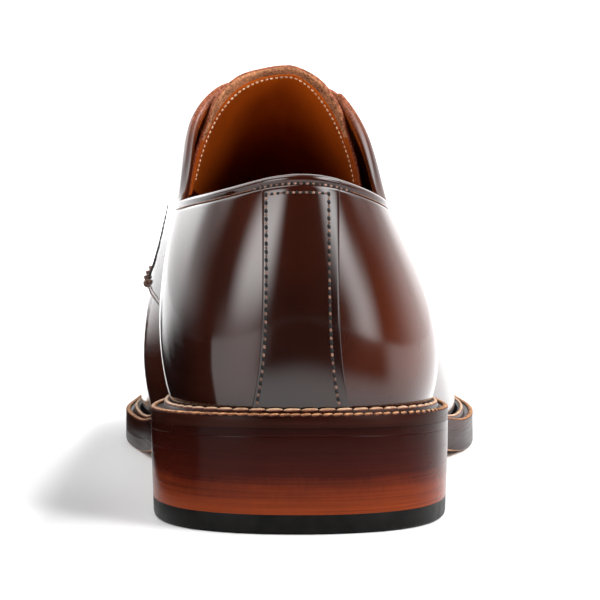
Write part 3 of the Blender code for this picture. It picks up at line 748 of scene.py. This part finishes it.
def buildBackstay():
    rim = collar["rim"]
    profile = np.array([0, 0.06, 0.18, 0.38, 0.7])
    shares = np.concatenate([np.linspace(0, 0.9, backstay["rows"]), np.linspace(0.9, 1, 30)[1:]])
    halves = stayCut(shares)
    across, lifts = [], []
    for half in halves:
        side = np.concatenate([profile, np.linspace(1.2, half, 8)])
        across.append(np.concatenate([-half + side, (half - side)[-2::-1]]))
        lifts.append(edgeRound(half - np.abs(across[-1]), backstay["radius"]))
    across, lifts = np.array(across), np.array(lifts)
    p, t = stayPlace(shares, across)
    lifts = lifts * stayLift(p, t)
    points = list(surface(p, t, stayOut(p, t) + lifts))
    seamLine = np.exp(-(((halves[:, None] - 1.3 - np.abs(across)) / 0.6) ** 2))
    # darker along the stitch lines (burnish) and towards the foot (painted shade)
    burnish = list(np.clip(0.3 + 0.4 * seamLine + 0.6 * (1 - shares[:, None]) ** 3, 0, 1))
    p, lift = p[-1], lifts[-1]
    for angle in np.linspace(math.pi / 2, 0.5, 6)[1:]:  # over the rim to the inside
        fold = math.sin(angle)
        t = tBelow(p, np.interp(p, nearBack, nearEdge), [rim * (1 - fold)])[:, 0]
        out = quarters["thick"] - rim - rim * math.cos(angle) - lift * (1 - fold) * 0.6
        points.append(surface(p, t, out) + lift[:, None] * [0, 0, fold])
        burnish.append(np.full(len(p), 0.2))
    faces = gridFaces(len(points), len(p))
    piece = makePiece("back_strip", points, faces, "calf", {"burnish": burnish})
    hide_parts("backstay")


tongue = {
    "cut": [(3.88, 53.0), (5.0, 37.0), (6.7, 19.0)], "thick": 1.6, "gap": 1.25, "ease": 0.25, "slack": 3.6,
    "freeFrom": 5.0, "spread": 1.2, "spreadFrom": 4.03, "spreadIn": (5, 11), "spreadOut": (23, 9),
    "border": 3.2, "rimUntil": 3.97, "rimFade": 0.1, "sideFade": 0.22, "liningThick": 0.45, "linedBelow": 94.0,
    "stitchUntil": 4.05, "rows": 60, "columns": 44, "stationLength": 32.0,
}
tongueCut = spline(*zip(*tongue["cut"]))
tongueTop, tongueFoot = tongue["cut"][0][0], tongue["cut"][-1][0]


def tonguePoints(rows, across, depths):  # across runs from -1, medial, to 1, lateral; one row per station
    rows, across = np.asarray(rows, float), np.asarray(across, float)
    reach = np.abs(across) * tongueCut(rows)[:, None]
    ones = np.ones(len(rows))
    lateral, medial = tBelow(rows, ones, reach), tBelow(ringSize - rows, ones, reach)
    onLateral = across >= 0
    p = np.where(onLateral, rows[:, None], ringSize - rows[:, None])
    free = smooth((tongue["freeFrom"] - rows) / (tongue["freeFrom"] - tongueTop))[:, None]
    stand = last["wall"] + tongue["gap"] + free * (tongue["slack"] * np.clip(across, 0, 1) ** 4 - tongue["ease"])
    (inner, rise), (outer, fall) = tongue["spreadIn"], tongue["spreadOut"]
    spread = smooth((tongue["spreadFrom"] - rows) / (tongue["spreadFrom"] - tongueTop))[:, None]
    spread = spread * smooth((reach - inner) / rise) * (1 - smooth((reach - outer) / fall))
    return surface(p, np.where(onLateral, lateral, medial), tongue["spread"] * spread - (stand + depths))


def sideInset(rows, inset):  # the lining runs out to the side edges below the top
    return inset * (1 - 0.9 * smooth((rows - tongue["rimUntil"]) / tongue["sideFade"]))


def tongueEdge(rows, across, inset=0.0):  # distance to the nearest free edge
    side = (1 - np.abs(across)) * tongueCut(rows)[:, None] - sideInset(rows, inset)[:, None]
    return np.minimum(side, ((rows - tongueTop) * tongue["stationLength"])[:, None] - inset)


def tongueNet(inset, foot):  # stations and across places of a sheet set in from the free edges
    ease = np.array([0, 0.0015, 0.005, 0.011, 0.02])
    rows = np.concatenate([ease, np.linspace(0.045, 1, tongue["rows"])])
    rows = tongueTop + inset / tongue["stationLength"] + (foot - tongueTop - inset / tongue["stationLength"]) * rows
    side = np.concatenate([ease, np.linspace(0.035, 1, tongue["columns"] // 2)])
    across = np.concatenate([-1 + side, (1 - side)[-2::-1]])
    return rows, across[None, :] * (1 - sideInset(rows, inset) / tongueCut(rows))[:, None]


def buildTongue():
    half, inset, skin = tongue["thick"] / 2, tongue["border"], tongue["liningThick"]
    rows, across = tongueNet(0.0, tongueFoot)
    away = tongueEdge(rows, across)
    bulge = half * edgeRound(away, half)
    points = [tonguePoints(rows, across, half - bulge), tonguePoints(rows, across, half + bulge)]
    count = len(rows) * across.shape[1]
    faces = gridFaces(*across.shape) + gridFaces(*across.shape, count)
    border = 0.5 * np.exp(-((away / 4) ** 2))
    rim = np.exp(-((away / 0.9) ** 2)) * (1 - smooth((rows - tongue["rimUntil"]) / tongue["rimFade"]))[:, None]
    marks = {"burnish": [border, border], "cut": [rim, rim]}
    piece = makePiece("tongue", points, faces, ["calf", "raw", "lining"], marks, weld=0.003,
                      second=range(len(faces) // 2, len(faces)))
    lined = inScene((0, 0, tongue["linedBelow"]))[2]
    for face in piece.data.polygons:  # the inner side is lined out to its edges below the top
        if face.material_index == 1 and face.center.z < lined:
            face.material_index = 2
    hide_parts("tongue")
    rows, across = tongueNet(inset, tongueFoot - 0.03)
    lift = skin * edgeRound(tongueEdge(rows, across, inset), skin)
    points = tonguePoints(rows, across, tongue["thick"] - 0.05 + lift)
    makePiece("tongue_lining", points, gridFaces(*across.shape), "lining")


heel = {"topPiece": 4.9, "breast": 68.0, "hollow": 3.0, "taper": 0.6, "lifts": 3, "outlinePoints": 150}
sole = {"perStation": 30, "edgeRound": 0.9}


def buildOutsole():
    ring = ringOf(sole["perStation"])
    margin = walls["margin"](ring)
    thick = last["outsole"]
    free = smooth((walls["along"](ring) * last["length"] - heel["breast"]) / 12)  # no bevel over the heel
    bevel = 0.02 + sole["edgeRound"] * free
    profile = [  # inset from the margin, height above the tread
        (5.0, 0.0), (bevel * 1.5, 0.0), (bevel * 0.6, 0.09 * free), (bevel * 0.15, 0.3 * free + 0.02),
        (0.0, 0.05 + 0.7 * free), (0.0, thick - 3.0), (0.0, thick - 2.3), (0.0, thick - 2.05), (0.05, thick - 1.97),
        (0.05, thick - 1.87), (0.0, thick - 1.8), (0.0, thick - 1.6), (0.0, thick + 0.03), (0.4, thick + 0.05),
    ]
    rings = [soleRing(ring, margin - inset, height) for inset, height in profile]
    count = len(ring)
    faces = gridFaces(len(rings), count, closeColumns=True)
    faces += capFaces(count, 0) + capFaces(count, (len(rings) - 1) * count)
    piece = makePiece("sole", rings, faces, ["sole", "under", "heel"])
    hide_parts("outsole")
    breast = inScene((0, heel["breast"], 0))[1]
    for face in piece.data.polygons:  # over the heel the edge is dyed with the stack
        overHeel = 2 if face.center.y < breast else 0
        face.material_index = 1 if face.normal.z < -0.6 else overHeel


weltShape = {"thick": 3.0, "bead": 1.7, "beadWidth": 1.9, "ledge": 1.2, "perStation": 30}


def weltSide(ps):  # how far the upper stands out from the feather line at the bead
    plan, outward = feather(ps)
    rises = (0, weltShape["thick"], weltShape["thick"] + weltShape["bead"])
    beside = [surface(ps, footT(ps, rise), quarters["thick"] + 0.05) for rise in rises]
    return np.max([((b[:, :2] - plan) * outward).sum(axis=1) for b in beside], axis=0)


def beadRoom(margin, inner):  # the bead narrows where the welt leaves little room
    return np.minimum(weltShape["beadWidth"], margin - inner - weltShape["ledge"])


weltRing = ringOf(weltShape["perStation"])
weltInner = weltSide(weltRing)


def buildWelt():
    margin = walls["margin"](weltRing)
    base = last["outsole"] + last["clearance"] - 0.25
    bead = beadRoom(margin, weltInner)
    thick = weltShape["thick"] + 0.2
    room = margin - weltInner - bead
    profile = [  # stand-out, height
        (margin - 0.7, base), (margin, base + 0.03), (margin, base + 0.2), (margin, base + 1.3),
        (margin, base + thick - 0.45), (margin - 0.12, base + thick - 0.2), (margin - 0.5, base + thick - 0.05),
        (margin - 0.25 * room - 0.7, base + thick - 0.1), (margin - 0.55 * room - 0.5, base + thick - 0.3),
        (weltInner + bead + 0.15, base + thick - 0.45), (weltInner + 0.95 * bead, base + thick - 0.1),
        (weltInner + 0.85 * bead, base + thick + 0.7), (weltInner + 0.55 * bead, base + thick + 1.25),
        (weltInner + 0.25 * bead, base + thick + 1.2), (weltInner - 0.1, base + thick + 0.7), (weltInner - 0.3, base),
    ]
    rings = [soleRing(weltRing, out, height) for out, height in profile]
    faces = gridFaces(len(rings), len(weltRing), closeRows=True, closeColumns=True)
    piece = makePiece("welt", rings, faces, "welt")
    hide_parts("welt")


def heelOutline(inset):
    ring = np.linspace(-4, 4, 1600)
    plan, outward = feather(ring)
    edge = plan + (walls["margin"](ring) - inset)[:, None] * outward
    edge = edge[edge[:, 1] < heel["breast"] - 0.6]
    run = np.concatenate([[0], np.cumsum(np.linalg.norm(np.diff(edge, axis=0), axis=1))])
    at = np.linspace(0, run[-1], heel["outlinePoints"])
    edge = np.column_stack([np.interp(at, run, edge[:, 0]), np.interp(at, run, edge[:, 1])])
    medial, lateral = edge[0], edge[-1]
    share = np.linspace(0, 1, 40)
    x = lateral[0] + (medial[0] - lateral[0]) * share
    y = heel["breast"] - heel["hollow"] * 4 * share * (1 - share)
    return np.concatenate([edge, np.column_stack([x, y])])


def heelRings(levels):
    rings = []
    for z, inset in levels:
        plan = heelOutline(heel["taper"] * (1 - z / last["heel"]) + inset)
        thinned = (treadHeight(plan[:, 1]) - heel["topPiece"]) / (last["heel"] - heel["topPiece"])
        heights = min(z, heel["topPiece"]) + max(z - heel["topPiece"], 0) * thinned
        rings.append(np.column_stack([plan, heights]))
    return rings


def heelPiece(name, levels, finish, nodes):
    rings = heelRings(levels)
    count = len(rings[0])
    faces = gridFaces(len(rings), count, closeColumns=True)
    faces += [list(range(count))[::-1], list(range((len(rings) - 1) * count, len(rings) * count))]
    piece = makePiece(name, rings, faces, finish)
    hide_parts(*nodes)


def buildHeel():
    top = heel["topPiece"]
    rubber = [(0.0, 0.9), (0.12, 0.45), (0.45, 0.12), (0.9, 0.0), (top - 0.1, 0.0), (top - 0.02, 0.02), (top, 0.4)]
    heelPiece("heel_top_piece_rubber", rubber, "rubber", ["heel_top_piece"])
    levels = [(top - 0.02, 0.4), (top + 0.02, 0.0)]
    pitch = (last["heel"] - top) / heel["lifts"]
    for i in range(heel["lifts"]):
        low = top + i * pitch
        for share in (0.15, 0.4, 0.65, 0.9):
            levels.append((low + share * pitch, 0.0))
        if i < heel["lifts"] - 1:
            levels.append((low + pitch, 0.0))
    levels += [(last["heel"] - 0.02, 0.0), (last["heel"] + 0.03, 0.3)]
    nodes = [f"heel_lift_{i + 1}" for i in range(heel["lifts"])]
    heelPiece("heel_stack", levels, "heel", nodes)


def capsule(rings=5, sides=7):  # unit stitch along x, sunk at both ends
    xs = np.cos(np.linspace(math.pi, 0, rings + 2))
    rows = []
    for x in xs:
        r = max(1 - abs(x) ** 3, 0.0) ** 0.5
        for a in np.linspace(0, 2 * math.pi, sides, endpoint=False):
            rows.append([x, r * math.cos(a), r * math.sin(a)])
    return np.array(rows), gridFaces(rings + 2, sides, closeColumns=True)


def evenly(path, normals, pitch, shift=0.0):
    run = np.concatenate([[0], np.cumsum(np.linalg.norm(np.diff(path, axis=0), axis=1))])
    count = max(int(run[-1] / pitch), 1)
    at = (np.arange(count) + 0.5 + shift) * run[-1] / count

    def place(values, where):
        return np.column_stack([np.interp(where, run, values[:, i]) for i in range(3)])

    ahead = place(path, np.minimum(at + 0.2, run[-1])) - place(path, np.maximum(at - 0.2, 0))
    return place(path, at), unit(ahead), unit(place(normals, at)), run[-1] / count


def stitches(runs):  # each run: path, normals, pitch, length share, width, height, slant, and shift along the path
    shape, shapeFaces = capsule()
    points, faces = [], []
    for path, normals, pitch, share, width, height, slant, *shift in runs:
        at, ahead, up, step = evenly(np.asarray(path), np.asarray(normals), pitch, *shift)
        side = unit(np.cross(up, ahead))
        turned = ahead * math.cos(slant) + side * math.sin(slant)
        across = unit(np.cross(up, turned))
        for c, x, y, z in zip(at, turned, across, up):
            start = len(points) * len(shape)
            faces += [[v + start for v in face] for face in shapeFaces]
            block = c + shape[:, :1] * x * step * share / 2 + shape[:, 1:2] * y * width / 2
            points.append(block + shape[:, 2:] * z * height / 2)
    return np.concatenate(points), faces


def edgePath(ps, down, out):  # path at a distance below the collar or facing edge
    ts = tBelow(ps, edgesOf(ps), [down])[:, 0]
    return surface(ps, ts, out + collarShape(ps, down)), lastNormal(ps, ts)


def frontPath(side, back, out):  # path beside the front edge of a quarter
    p = last["quarterEdge"] - back / quarters["perStationLength"]
    p = np.full(120, p if side > 0 else ringSize - p)
    ts = np.linspace(footT(p[:1], 4.5)[0], tBelow(p[:1], edgesOf(p[:1]), [2.0])[0, 0], 120)
    p = swept(p, ts)
    return surface(p, ts, out), lastNormal(p, ts)


def facingPath(side, out, until=1.0):  # row from the tack up to the collar
    share = np.linspace(0, until, 120)
    p = spline((0, 0.5, 1), seam["rowPlaces"])(share)
    p = p if side > 0 else ringSize - p
    end = np.array([seam["rowPlaces"][-1] if side > 0 else ringSize - seam["rowPlaces"][-1]])
    ts = spline((0, 0.5, 1), (*seam["rowLevels"], tBelow(end, edgesOf(end), [4.5])[0, 0]))(share)
    return surface(p, ts, out - seam["creaseSink"] * share), lastNormal(p, ts)


def tackPath(side, t):  # short bars across the front edge of a quarter
    p = last["quarterEdge"] + np.array(seam["tackEnds"])
    p = swept(p if side > 0 else ringSize - p, t)
    ts = np.full(2, t)
    return surface(p, ts, quarters["thick"] * np.array([1.0, 0.55])), lastNormal(p, ts)


def stayPath(shares, across, lift):
    p, t = stayPlace(shares, np.asarray(across)[:, None])
    p, t = p[:, 0], t[:, 0]
    return surface(p, t, stayOut(p, t) + stayLift(p, t) + lift), lastNormal(p, t)


seam = {  # pitch, length share, width, height
    "fine": (1.55, 0.74, 0.55, 0.55), "stay": (2.0, 0.46, 0.72, 0.60), "stayHoleShade": (2.0, 0.60, 0.92, 0.34),
    "top": (1.5, 0.52, 0.66, 0.58), "topHoleShade": (1.5, 0.52, 0.80, 0.30), "collar": (1.1, 0.95, 0.30, 0.34),
    "tack": (7.0, 1.0, 1.5, 4.0), "crease": (1.6, 1.2, 0.60, 0.95), "tongue": (1.4, 0.66, 0.82, 0.72),
    "tackOver": (0.325, 0.388), "tackBars": 4, "tackEnds": (-0.22, 0.02), "creaseSink": 0.45,
    "rowPlaces": (5.09, 4.50, 4.25), "rowLevels": (0.342, 0.44),
}


def buildStitching():
    thick = quarters["thick"]
    fine, shadeHoles, pale = [], [], []
    for side in (1, -1):
        throat = np.linspace(4.05, last["quarterEdge"] - 0.06, 260)
        throat = throat if side > 0 else ringSize - throat
        for down in collar["facingRows"]:
            fine.append((*edgePath(throat, down, thick - 0.02), *seam["fine"], 0.12))
        for back in quarters["frontRows"]:
            fine.append((*frontPath(side, back, thick - 0.16), *seam["fine"], 0.12))
        fine.append((*facingPath(side, thick - 0.05), *seam["fine"], 0.12))
        # near-black line along the front edge of the facing: painted shade of the gap under the edge
        shadeHoles.append((*facingPath(side, thick, 0.55), *seam["crease"], 0.1, 0.5))
        for t in np.linspace(*seam["tackOver"], seam["tackBars"]):
            fine.append((*tackPath(side, t), *seam["tack"], 0.0))
    row, (inner, outer) = backstay["row"], backstay["insets"]
    levels = np.linspace(0.01, row, 200)
    corners = inner - stayCut(np.array(row)), stayCut(np.array(row)) - outer
    across = np.linspace(float(corners[0]), float(corners[1]), 60)
    for path in ((levels, inner - stayCut(levels)), (levels, stayCut(levels) - outer)):
        fine.append((*stayPath(*path, -0.08), *seam["stay"], 0.2))
        # near-black dashes between the stitches: painted shade in the stitch holes
        shadeHoles.append((*stayPath(*path, 0.0), *seam["stayHoleShade"], 0.2, 0.5))
    pale.append((*stayPath(np.full(60, row), across, -0.08), *seam["top"], 0.2))
    shadeHoles.append((*stayPath(np.full(60, row), across, 0.0), *seam["topHoleShade"], 0.2, 0.5))
    ps = np.linspace(-3.95, 3.95, 900)
    x = lastPoint(ps, edgesOf(ps))[:, 0]
    nearStay = np.abs(ps) < backstay["reach"]
    atBack = nearStay & (np.abs(x) < float(stayCut(1.0)) + 2.5)
    onStay = np.where(nearStay, float(stayCut(0.95)) - np.abs(x), 0)
    lift = backstay["thick"] * 0.55 * edgeRound(onStay, backstay["radius"])
    path, normals = edgePath(ps, collar["creaseAt"], thick + 0.06)
    path = path + normals * lift[:, None]
    pale.append((path[atBack], normals[atBack], *seam["top"], 0.15))
    shadeHoles.append((path[atBack] + 0.06 * normals[atBack], normals[atBack], *seam["topHoleShade"], 0.15, 0.5))
    sides = [np.flatnonzero(~atBack & (ps < 0)), np.flatnonzero(~atBack & (ps > 0))]
    thin = [(path[at], normals[at], *seam["collar"], 0.05) for at in sides]
    for name, runs, finish in (
        ("stitches_upper", fine, "darkThread"), ("stitch_holes_shade", shadeHoles, "hole"),
        ("stitches_top", pale, "topThread"), ("stitches_collar", thin, "edgeThread"),
    ):
        points, faces = stitches(runs)
        makePiece(name, points, faces, finish, sharp=180)


def tongueStitch():
    inset = tongue["border"] + 1.0
    rows = np.linspace(tongueTop + inset / tongue["stationLength"], tongue["stitchUntil"], 120)
    reach = 1 - inset / tongueCut(rows)
    top = np.full(118, rows[0])
    where = np.concatenate([rows[::-1], top, rows])
    across = np.concatenate([-reach[::-1], np.linspace(-reach[0], reach[0], 120)[1:-1], reach])[:, None]
    depth = tongue["thick"] + tongue["liningThick"] - 0.05
    points = tonguePoints(where, across, depth)[:, 0]
    deeper = tonguePoints(where, across, depth + 1.0)[:, 0]
    made, faces = stitches([(points, unit(deeper - points), *seam["tongue"], 0.0)])
    makePiece("stitches_tongue", made, faces, "creamThread", sharp=180)


weltSeam = {"inner": (4.3, 1.02, 1.25, 1.1, 0.06), "outer": (2.6, 1.14, 1.15, 1.0, 0.38)}


def buildWeltStitching():
    ring = np.linspace(0, ringSize, 1600)
    margin = walls["margin"](ring)
    inner = np.interp(ring, np.append(weltRing, ringSize), np.append(weltInner, weltInner[0]))
    base = last["outsole"] + last["clearance"] + weltShape["thick"]
    upward = np.tile([0.0, 0.0, 1.0], (len(ring), 1))
    beadPath = soleRing(ring, inner + 0.5 * beadRoom(margin, inner), base + 1.0)
    outerPath = soleRing(ring, margin - 0.75, base - 0.05)
    outward = feather(ring)[1]
    tipped = unit(upward + 0.5 * np.concatenate([outward, 0 * outward[:, :1]], 1))
    points, faces = stitches([(beadPath, tipped, *weltSeam["inner"])])
    makePiece("stitches_bead", points, faces, "beadThread", sharp=180)
    points, faces = stitches([(outerPath, upward, *weltSeam["outer"])])
    makePiece("stitches_welt", points, faces, "edgeThread", sharp=180)


lacing = {
    "perSide": 5, "fromEdge": 8.5, "first": 4.45, "lastOne": 5.84, "outer": 3.0, "hole": 1.7, "turn": 36,
    "radius": 1.2, "sides": 14, "steps": 90, "crown": 2.5, "lift": 1.0,
    "dips": (2.2, 0.6, -0.5),  # depths of the lace's end in its eyelet
}
laceStations = np.linspace(lacing["first"], lacing["lastOne"], lacing["perSide"])


def eyeletFrame(p):
    t = tBelow(np.array([p]), edgesOf(p), [lacing["fromEdge"]])[0, 0]
    normal = lastNormal(p, t)
    side = unit(np.cross(normal, [0, 0, 1.0]))
    return surface(p, t, quarters["thick"]), normal, side, np.cross(normal, side)


def buildEyelets():
    radius, half = (lacing["outer"] + lacing["hole"]) / 2, (lacing["outer"] - lacing["hole"]) / 2
    angles = np.linspace(0, 2 * math.pi, 12, endpoint=False)
    profile = [(radius + half * math.cos(a), 0.30 + 0.42 * math.sin(a)) for a in angles]
    points, faces = [], []
    for station in laceStations:
        for p in (station, ringSize - station):
            base, normal, side, along = eyeletFrame(p)
            start = sum(len(block) for block in points)
            block = []
            for a in np.linspace(0, 2 * math.pi, lacing["turn"], endpoint=False):
                ray = math.cos(a) * side + math.sin(a) * along
                block += [base + r * ray + h * normal for r, h in profile]
            points.append(np.array(block))
            faces += gridFaces(lacing["turn"], len(profile), start, True, True)
    piece = makePiece("eyelets", np.concatenate(points), faces, "bronze")
    nodes = [f"eyelet_{side}_{i + 1}" for side in ("lateral", "medial") for i in range(lacing["perSide"])]
    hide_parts(*nodes)


def tube(path, radius, sides):
    ahead = unit(np.gradient(path, axis=0))
    side = unit(np.cross(ahead, [0, 1.0, 0.2]))
    up = np.cross(side, ahead)
    angles = np.linspace(0, 2 * math.pi, sides, endpoint=False)
    run = np.concatenate([[0], np.cumsum(np.linalg.norm(np.diff(path, axis=0), axis=1))])
    rows, along, around = [], [], []
    for c, s, u, d in zip(path, side, up, run):
        rows += [c + radius * (math.cos(a) * s + math.sin(a) * u) for a in angles]
        along += [d] * sides
        around += list(angles)
    return np.array(rows), along, around


def buildLaces():
    points, faces, along, around = [], [], [], []
    radius, sides = lacing["radius"], lacing["sides"]
    lift = lacing["lift"] + radius
    for station in laceStations:
        (a, na, _, _), (b, nb, _, _) = (eyeletFrame(p) for p in (station, ringSize - station))
        centre = (a + b) / 2
        crown = float(spineHeight(centre[1])) + lacing["crown"]
        path = [a - dip * na for dip in lacing["dips"]]
        for share in np.linspace(0.06, 0.94, 21):
            flat = a + (b - a) * share + (na * (1 - share) + nb * share) * lift
            arch = 4 * share * (1 - share) * (crown - (centre[2] + lift * 0.9))
            path.append(flat + [0, 0, arch])
        path = np.array(path + [b - dip * nb for dip in lacing["dips"][::-1]])
        fine = np.linspace(0, len(path) - 1, lacing["steps"])
        smoothPath = np.column_stack([spline(np.arange(len(path)), path[:, i])(fine) for i in range(3)])
        start = sum(len(block) for block in points)
        block, d, turn = tube(smoothPath, radius, sides)
        points.append(block)
        along += d
        around += turn
        faces += gridFaces(len(smoothPath), sides, start, closeColumns=True)
    marks = {"along": along, "around": around}
    piece = makePiece("laces", np.concatenate(points), faces, "lace", marks)
    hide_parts(*[f"lace_bar_{i + 1}" for i in range(lacing["perSide"])])


buildQuarters()
print("quarters built")
buildVamp()
buildLining()
buildBackstay()
print("vamp, lining and back strip built")
buildTongue()
print("tongue built")
buildOutsole()
buildWelt()
buildHeel()
print("sole and heel built")
buildStitching()
tongueStitch()
buildWeltStitching()
print("stitching built")
buildEyelets()
buildLaces()
print("lacing built")

insole = bpy.data.objects["insole"]
for place in insole.material_slots:
    place.material = finishes["lining"]


studio = {
    "cameraAt": (-12.65, -761.7, 116.5), "pan": 0.93, "tilt": -4.42, "focal": 189.0,
    "floor": (0.86, 0.86, 0.865), "floorSize": 6.0, "backdrop": (0.8, 0.8, 0.8), "backdropGlow": 0.95,
}


def makeCamera():
    data = bpy.data.cameras.new("camera")
    data.sensor_width, data.lens = 36.0, studio["focal"]
    camera = addObject("camera", data)
    camera.location = inScene(studio["cameraAt"])
    pan, tilt = math.radians(studio["pan"]), math.radians(studio["tilt"])
    ahead = Vector((math.sin(pan) * math.cos(tilt), math.cos(pan) * math.cos(tilt), math.sin(tilt)))
    camera.rotation_mode = "QUATERNION"
    camera.rotation_quaternion = ahead.to_track_quat("-Z", "Y")
    bpy.context.scene.camera = camera


flags = {  # dark cards for reflections and shade: one curved round the inner side, one ringed on the floor
    "inner": [
        (-150, 6), (-128, -8), (-108, -10), (-88, -2), (-77, 14), (-72, 40), (-73, 65), (-73, 90),
        (-72, 115), (-71, 140), (-68, 185), (-67, 230), (-73, 265), (-90, 290), (-115, 300),
    ],
    "levels": [0.5, *range(4, 65, 4)], "innerTop": [(40, 44), (120, 25)], "innerFade": 22,
    "footOut": 9, "footFrom": 14, "shadeLow": (5, 24), "shadeCover": 0.85,
    "floorFrom": 130, "floorFull": 300, "floorTo": 5000, "floorSteps": 12, "floorMiddle": 30, "floorLift": 0.6,
    "turnFrom": -40, "turnTo": 84, "turnFade": 18,
    "colour": (0.012, 0.007, 0.006),
}


def makeFlag(name, points, cover, shade=False):  # cover: how solid the card is at each point
    mesh = bpy.data.meshes.new(name)
    mesh.from_pydata(inScene(points.reshape(-1, 3)).tolist(), [], gridFaces(*points.shape[:2]))
    setMark(mesh, "cover", cover)
    f = Finish(name + "_dark")
    look = f.set(Base_Color=flags["colour"], Roughness=0.9, Specular_IOR_Level=0.0, Alpha=f.mark("cover"))
    mesh.materials.append(look)
    flag = addObject(name, mesh)
    flag.visible_camera = False
    flag.visible_diffuse = flag.visible_shadow = shade
    flag.visible_glossy = not shade


def makeFlags():
    levels = np.array(flags["levels"])
    points = np.array([[(x, y, z) for z in levels] for x, y in flags["inner"]])
    top = np.interp(points[..., 1], *zip(*flags["innerTop"]))
    low, full = flags["shadeLow"]
    solid = 1 - smooth((points[..., 2] - top) / flags["innerFade"])
    makeFlag("flag_shade", points, flags["shadeCover"] * solid * smooth((points[..., 2] - low) / (full - low)), True)
    points[..., 0] += flags["footOut"] * (1 - smooth((points[..., 2] - flags["footFrom"]) / flags["footFrom"]))
    makeFlag("flag_inner", points, solid)
    turn = np.radians(np.arange(flags["turnFrom"], flags["turnTo"] + 1, 4.0))[:, None]
    near = np.linspace(flags["floorFrom"], flags["floorFull"], flags["floorSteps"])
    radius = np.append(near, flags["floorTo"])[None, :]
    x, y = radius * np.sin(turn), flags["floorMiddle"] - radius * np.cos(turn)
    points = np.stack([x, y, np.full(x.shape, flags["floorLift"])], -1)
    fade = math.radians(flags["turnFade"])
    ends = smooth((turn - turn[0]) / fade) * smooth((turn[-1] - turn) / fade)
    makeFlag("flag_floor", points, ends * smooth((radius - near[0]) / (near[-1] - near[0])))


sky = {
    "back": 1.6, "backOver": (-0.12, 0.62), "dark": 0.01,
    # azimuth, half width, soft edge, lowest and highest elevation in degrees, soft edge up and down, strength
    "boxes": [
        (-46, 13, 9, 6, 25, 8, 9.0), (-54, 17, 9, -18, 4, 7, 1.2), (49, 10, 9, 11, 38, 8, 9.5),
        (60, 9, 9, -4, 12, 7, 5.5), (93, 10, 8, 20, 38, 8, 2.4), (78, 30, 14, 38, 60, 9, 12.0),
        (-96, 8, 6, 20, 38, 8, 1.6), (-144, 20, 9, 9, 26, 8, 3.2), (-118, 24, 12, 28, 62, 10, 2.4),
        (156, 16, 9, 4, 26, 8, 0.8), (130, 22, 12, 28, 62, 10, 1.5), (-100, 40, 18, 55, 85, 12, 5.0),
    ],
}


def makeWorld():
    world = bpy.data.worlds.new("studio")
    bpy.context.scene.world = world
    world.use_nodes = True
    g = Graph(world.node_tree)
    apart = g.node("SeparateXYZ", {}, {0: g.node("TexCoord", output="Generated")})
    x, y, z = (Link(g, apart.socket.node.outputs[i]) for i in range(3))
    azimuth = g.sum("ARCTAN2", x, 0 - y) * (180 / math.pi)
    elevation = g.node("Math", {"operation": "ARCSINE"}, {0: z}) * (180 / math.pi)
    light = sky["dark"] + sky["back"] * g.smoothStep(y, *sky["backOver"])
    for centre, half, soft, low, high, fade, strength in sky["boxes"]:
        away = g.node("Math", {"operation": "ABSOLUTE"}, {0: azimuth - centre})
        across = 1 - g.smoothStep(away, half - soft, half + soft)
        above = g.smoothStep(elevation, low - fade, low + fade)
        below = 1 - g.smoothStep(elevation, high - fade, high + fade)
        light = light + strength * across * (above * below)
    background = world.node_tree.nodes["Background"]
    background.inputs["Color"].default_value = (1, 1, 1, 1)
    g.plug(background.inputs["Strength"], light)


def makeFloor():
    size = studio["floorSize"]
    mesh = bpy.data.meshes.new("floor")
    mesh.from_pydata([(-size, -size, 0), (size, -size, 0), (size, size, 0), (-size, size, 0)], [], [[0, 1, 2, 3]])
    f = Finish("floor_pale")
    tone = f.clamp(f.noise(3, 2.0), 0.3, 0.7)
    base = f.mix(tone, studio["floor"], tuple(c * 0.985 for c in studio["floor"]))
    mesh.materials.append(f.set(Base_Color=base, Roughness=0.6, Specular_IOR_Level=0.1))
    floor = addObject("floor", mesh)


def makeBackdrop():  # pale wall behind the camera, for views from the front; not in reflections
    steps, radius, height = 24, 5.0, 6.0
    points = []
    for i in range(steps + 1):
        a = math.pi + math.pi * i / steps
        points += [(radius * math.cos(a), radius * math.sin(a), z) for z in (-0.01, height)]
    faces = [[2 * i, 2 * i + 2, 2 * i + 3, 2 * i + 1] for i in range(steps)]
    mesh = bpy.data.meshes.new("backdrop")
    mesh.from_pydata(points, [], faces)
    f = Finish("backdrop_pale")
    glow = {"Emission_Color": (1, 1, 1), "Emission_Strength": studio["backdropGlow"]}
    mesh.materials.append(f.set(Base_Color=studio["backdrop"], Roughness=0.9, **glow))
    wall = addObject("backdrop", mesh)
    wall.visible_glossy = wall.visible_diffuse = wall.visible_shadow = False


makeCamera()
makeWorld()
makeFloor()
makeBackdrop()
makeFlags()
bpy.context.scene.view_settings.view_transform = "Standard"
print("studio set")
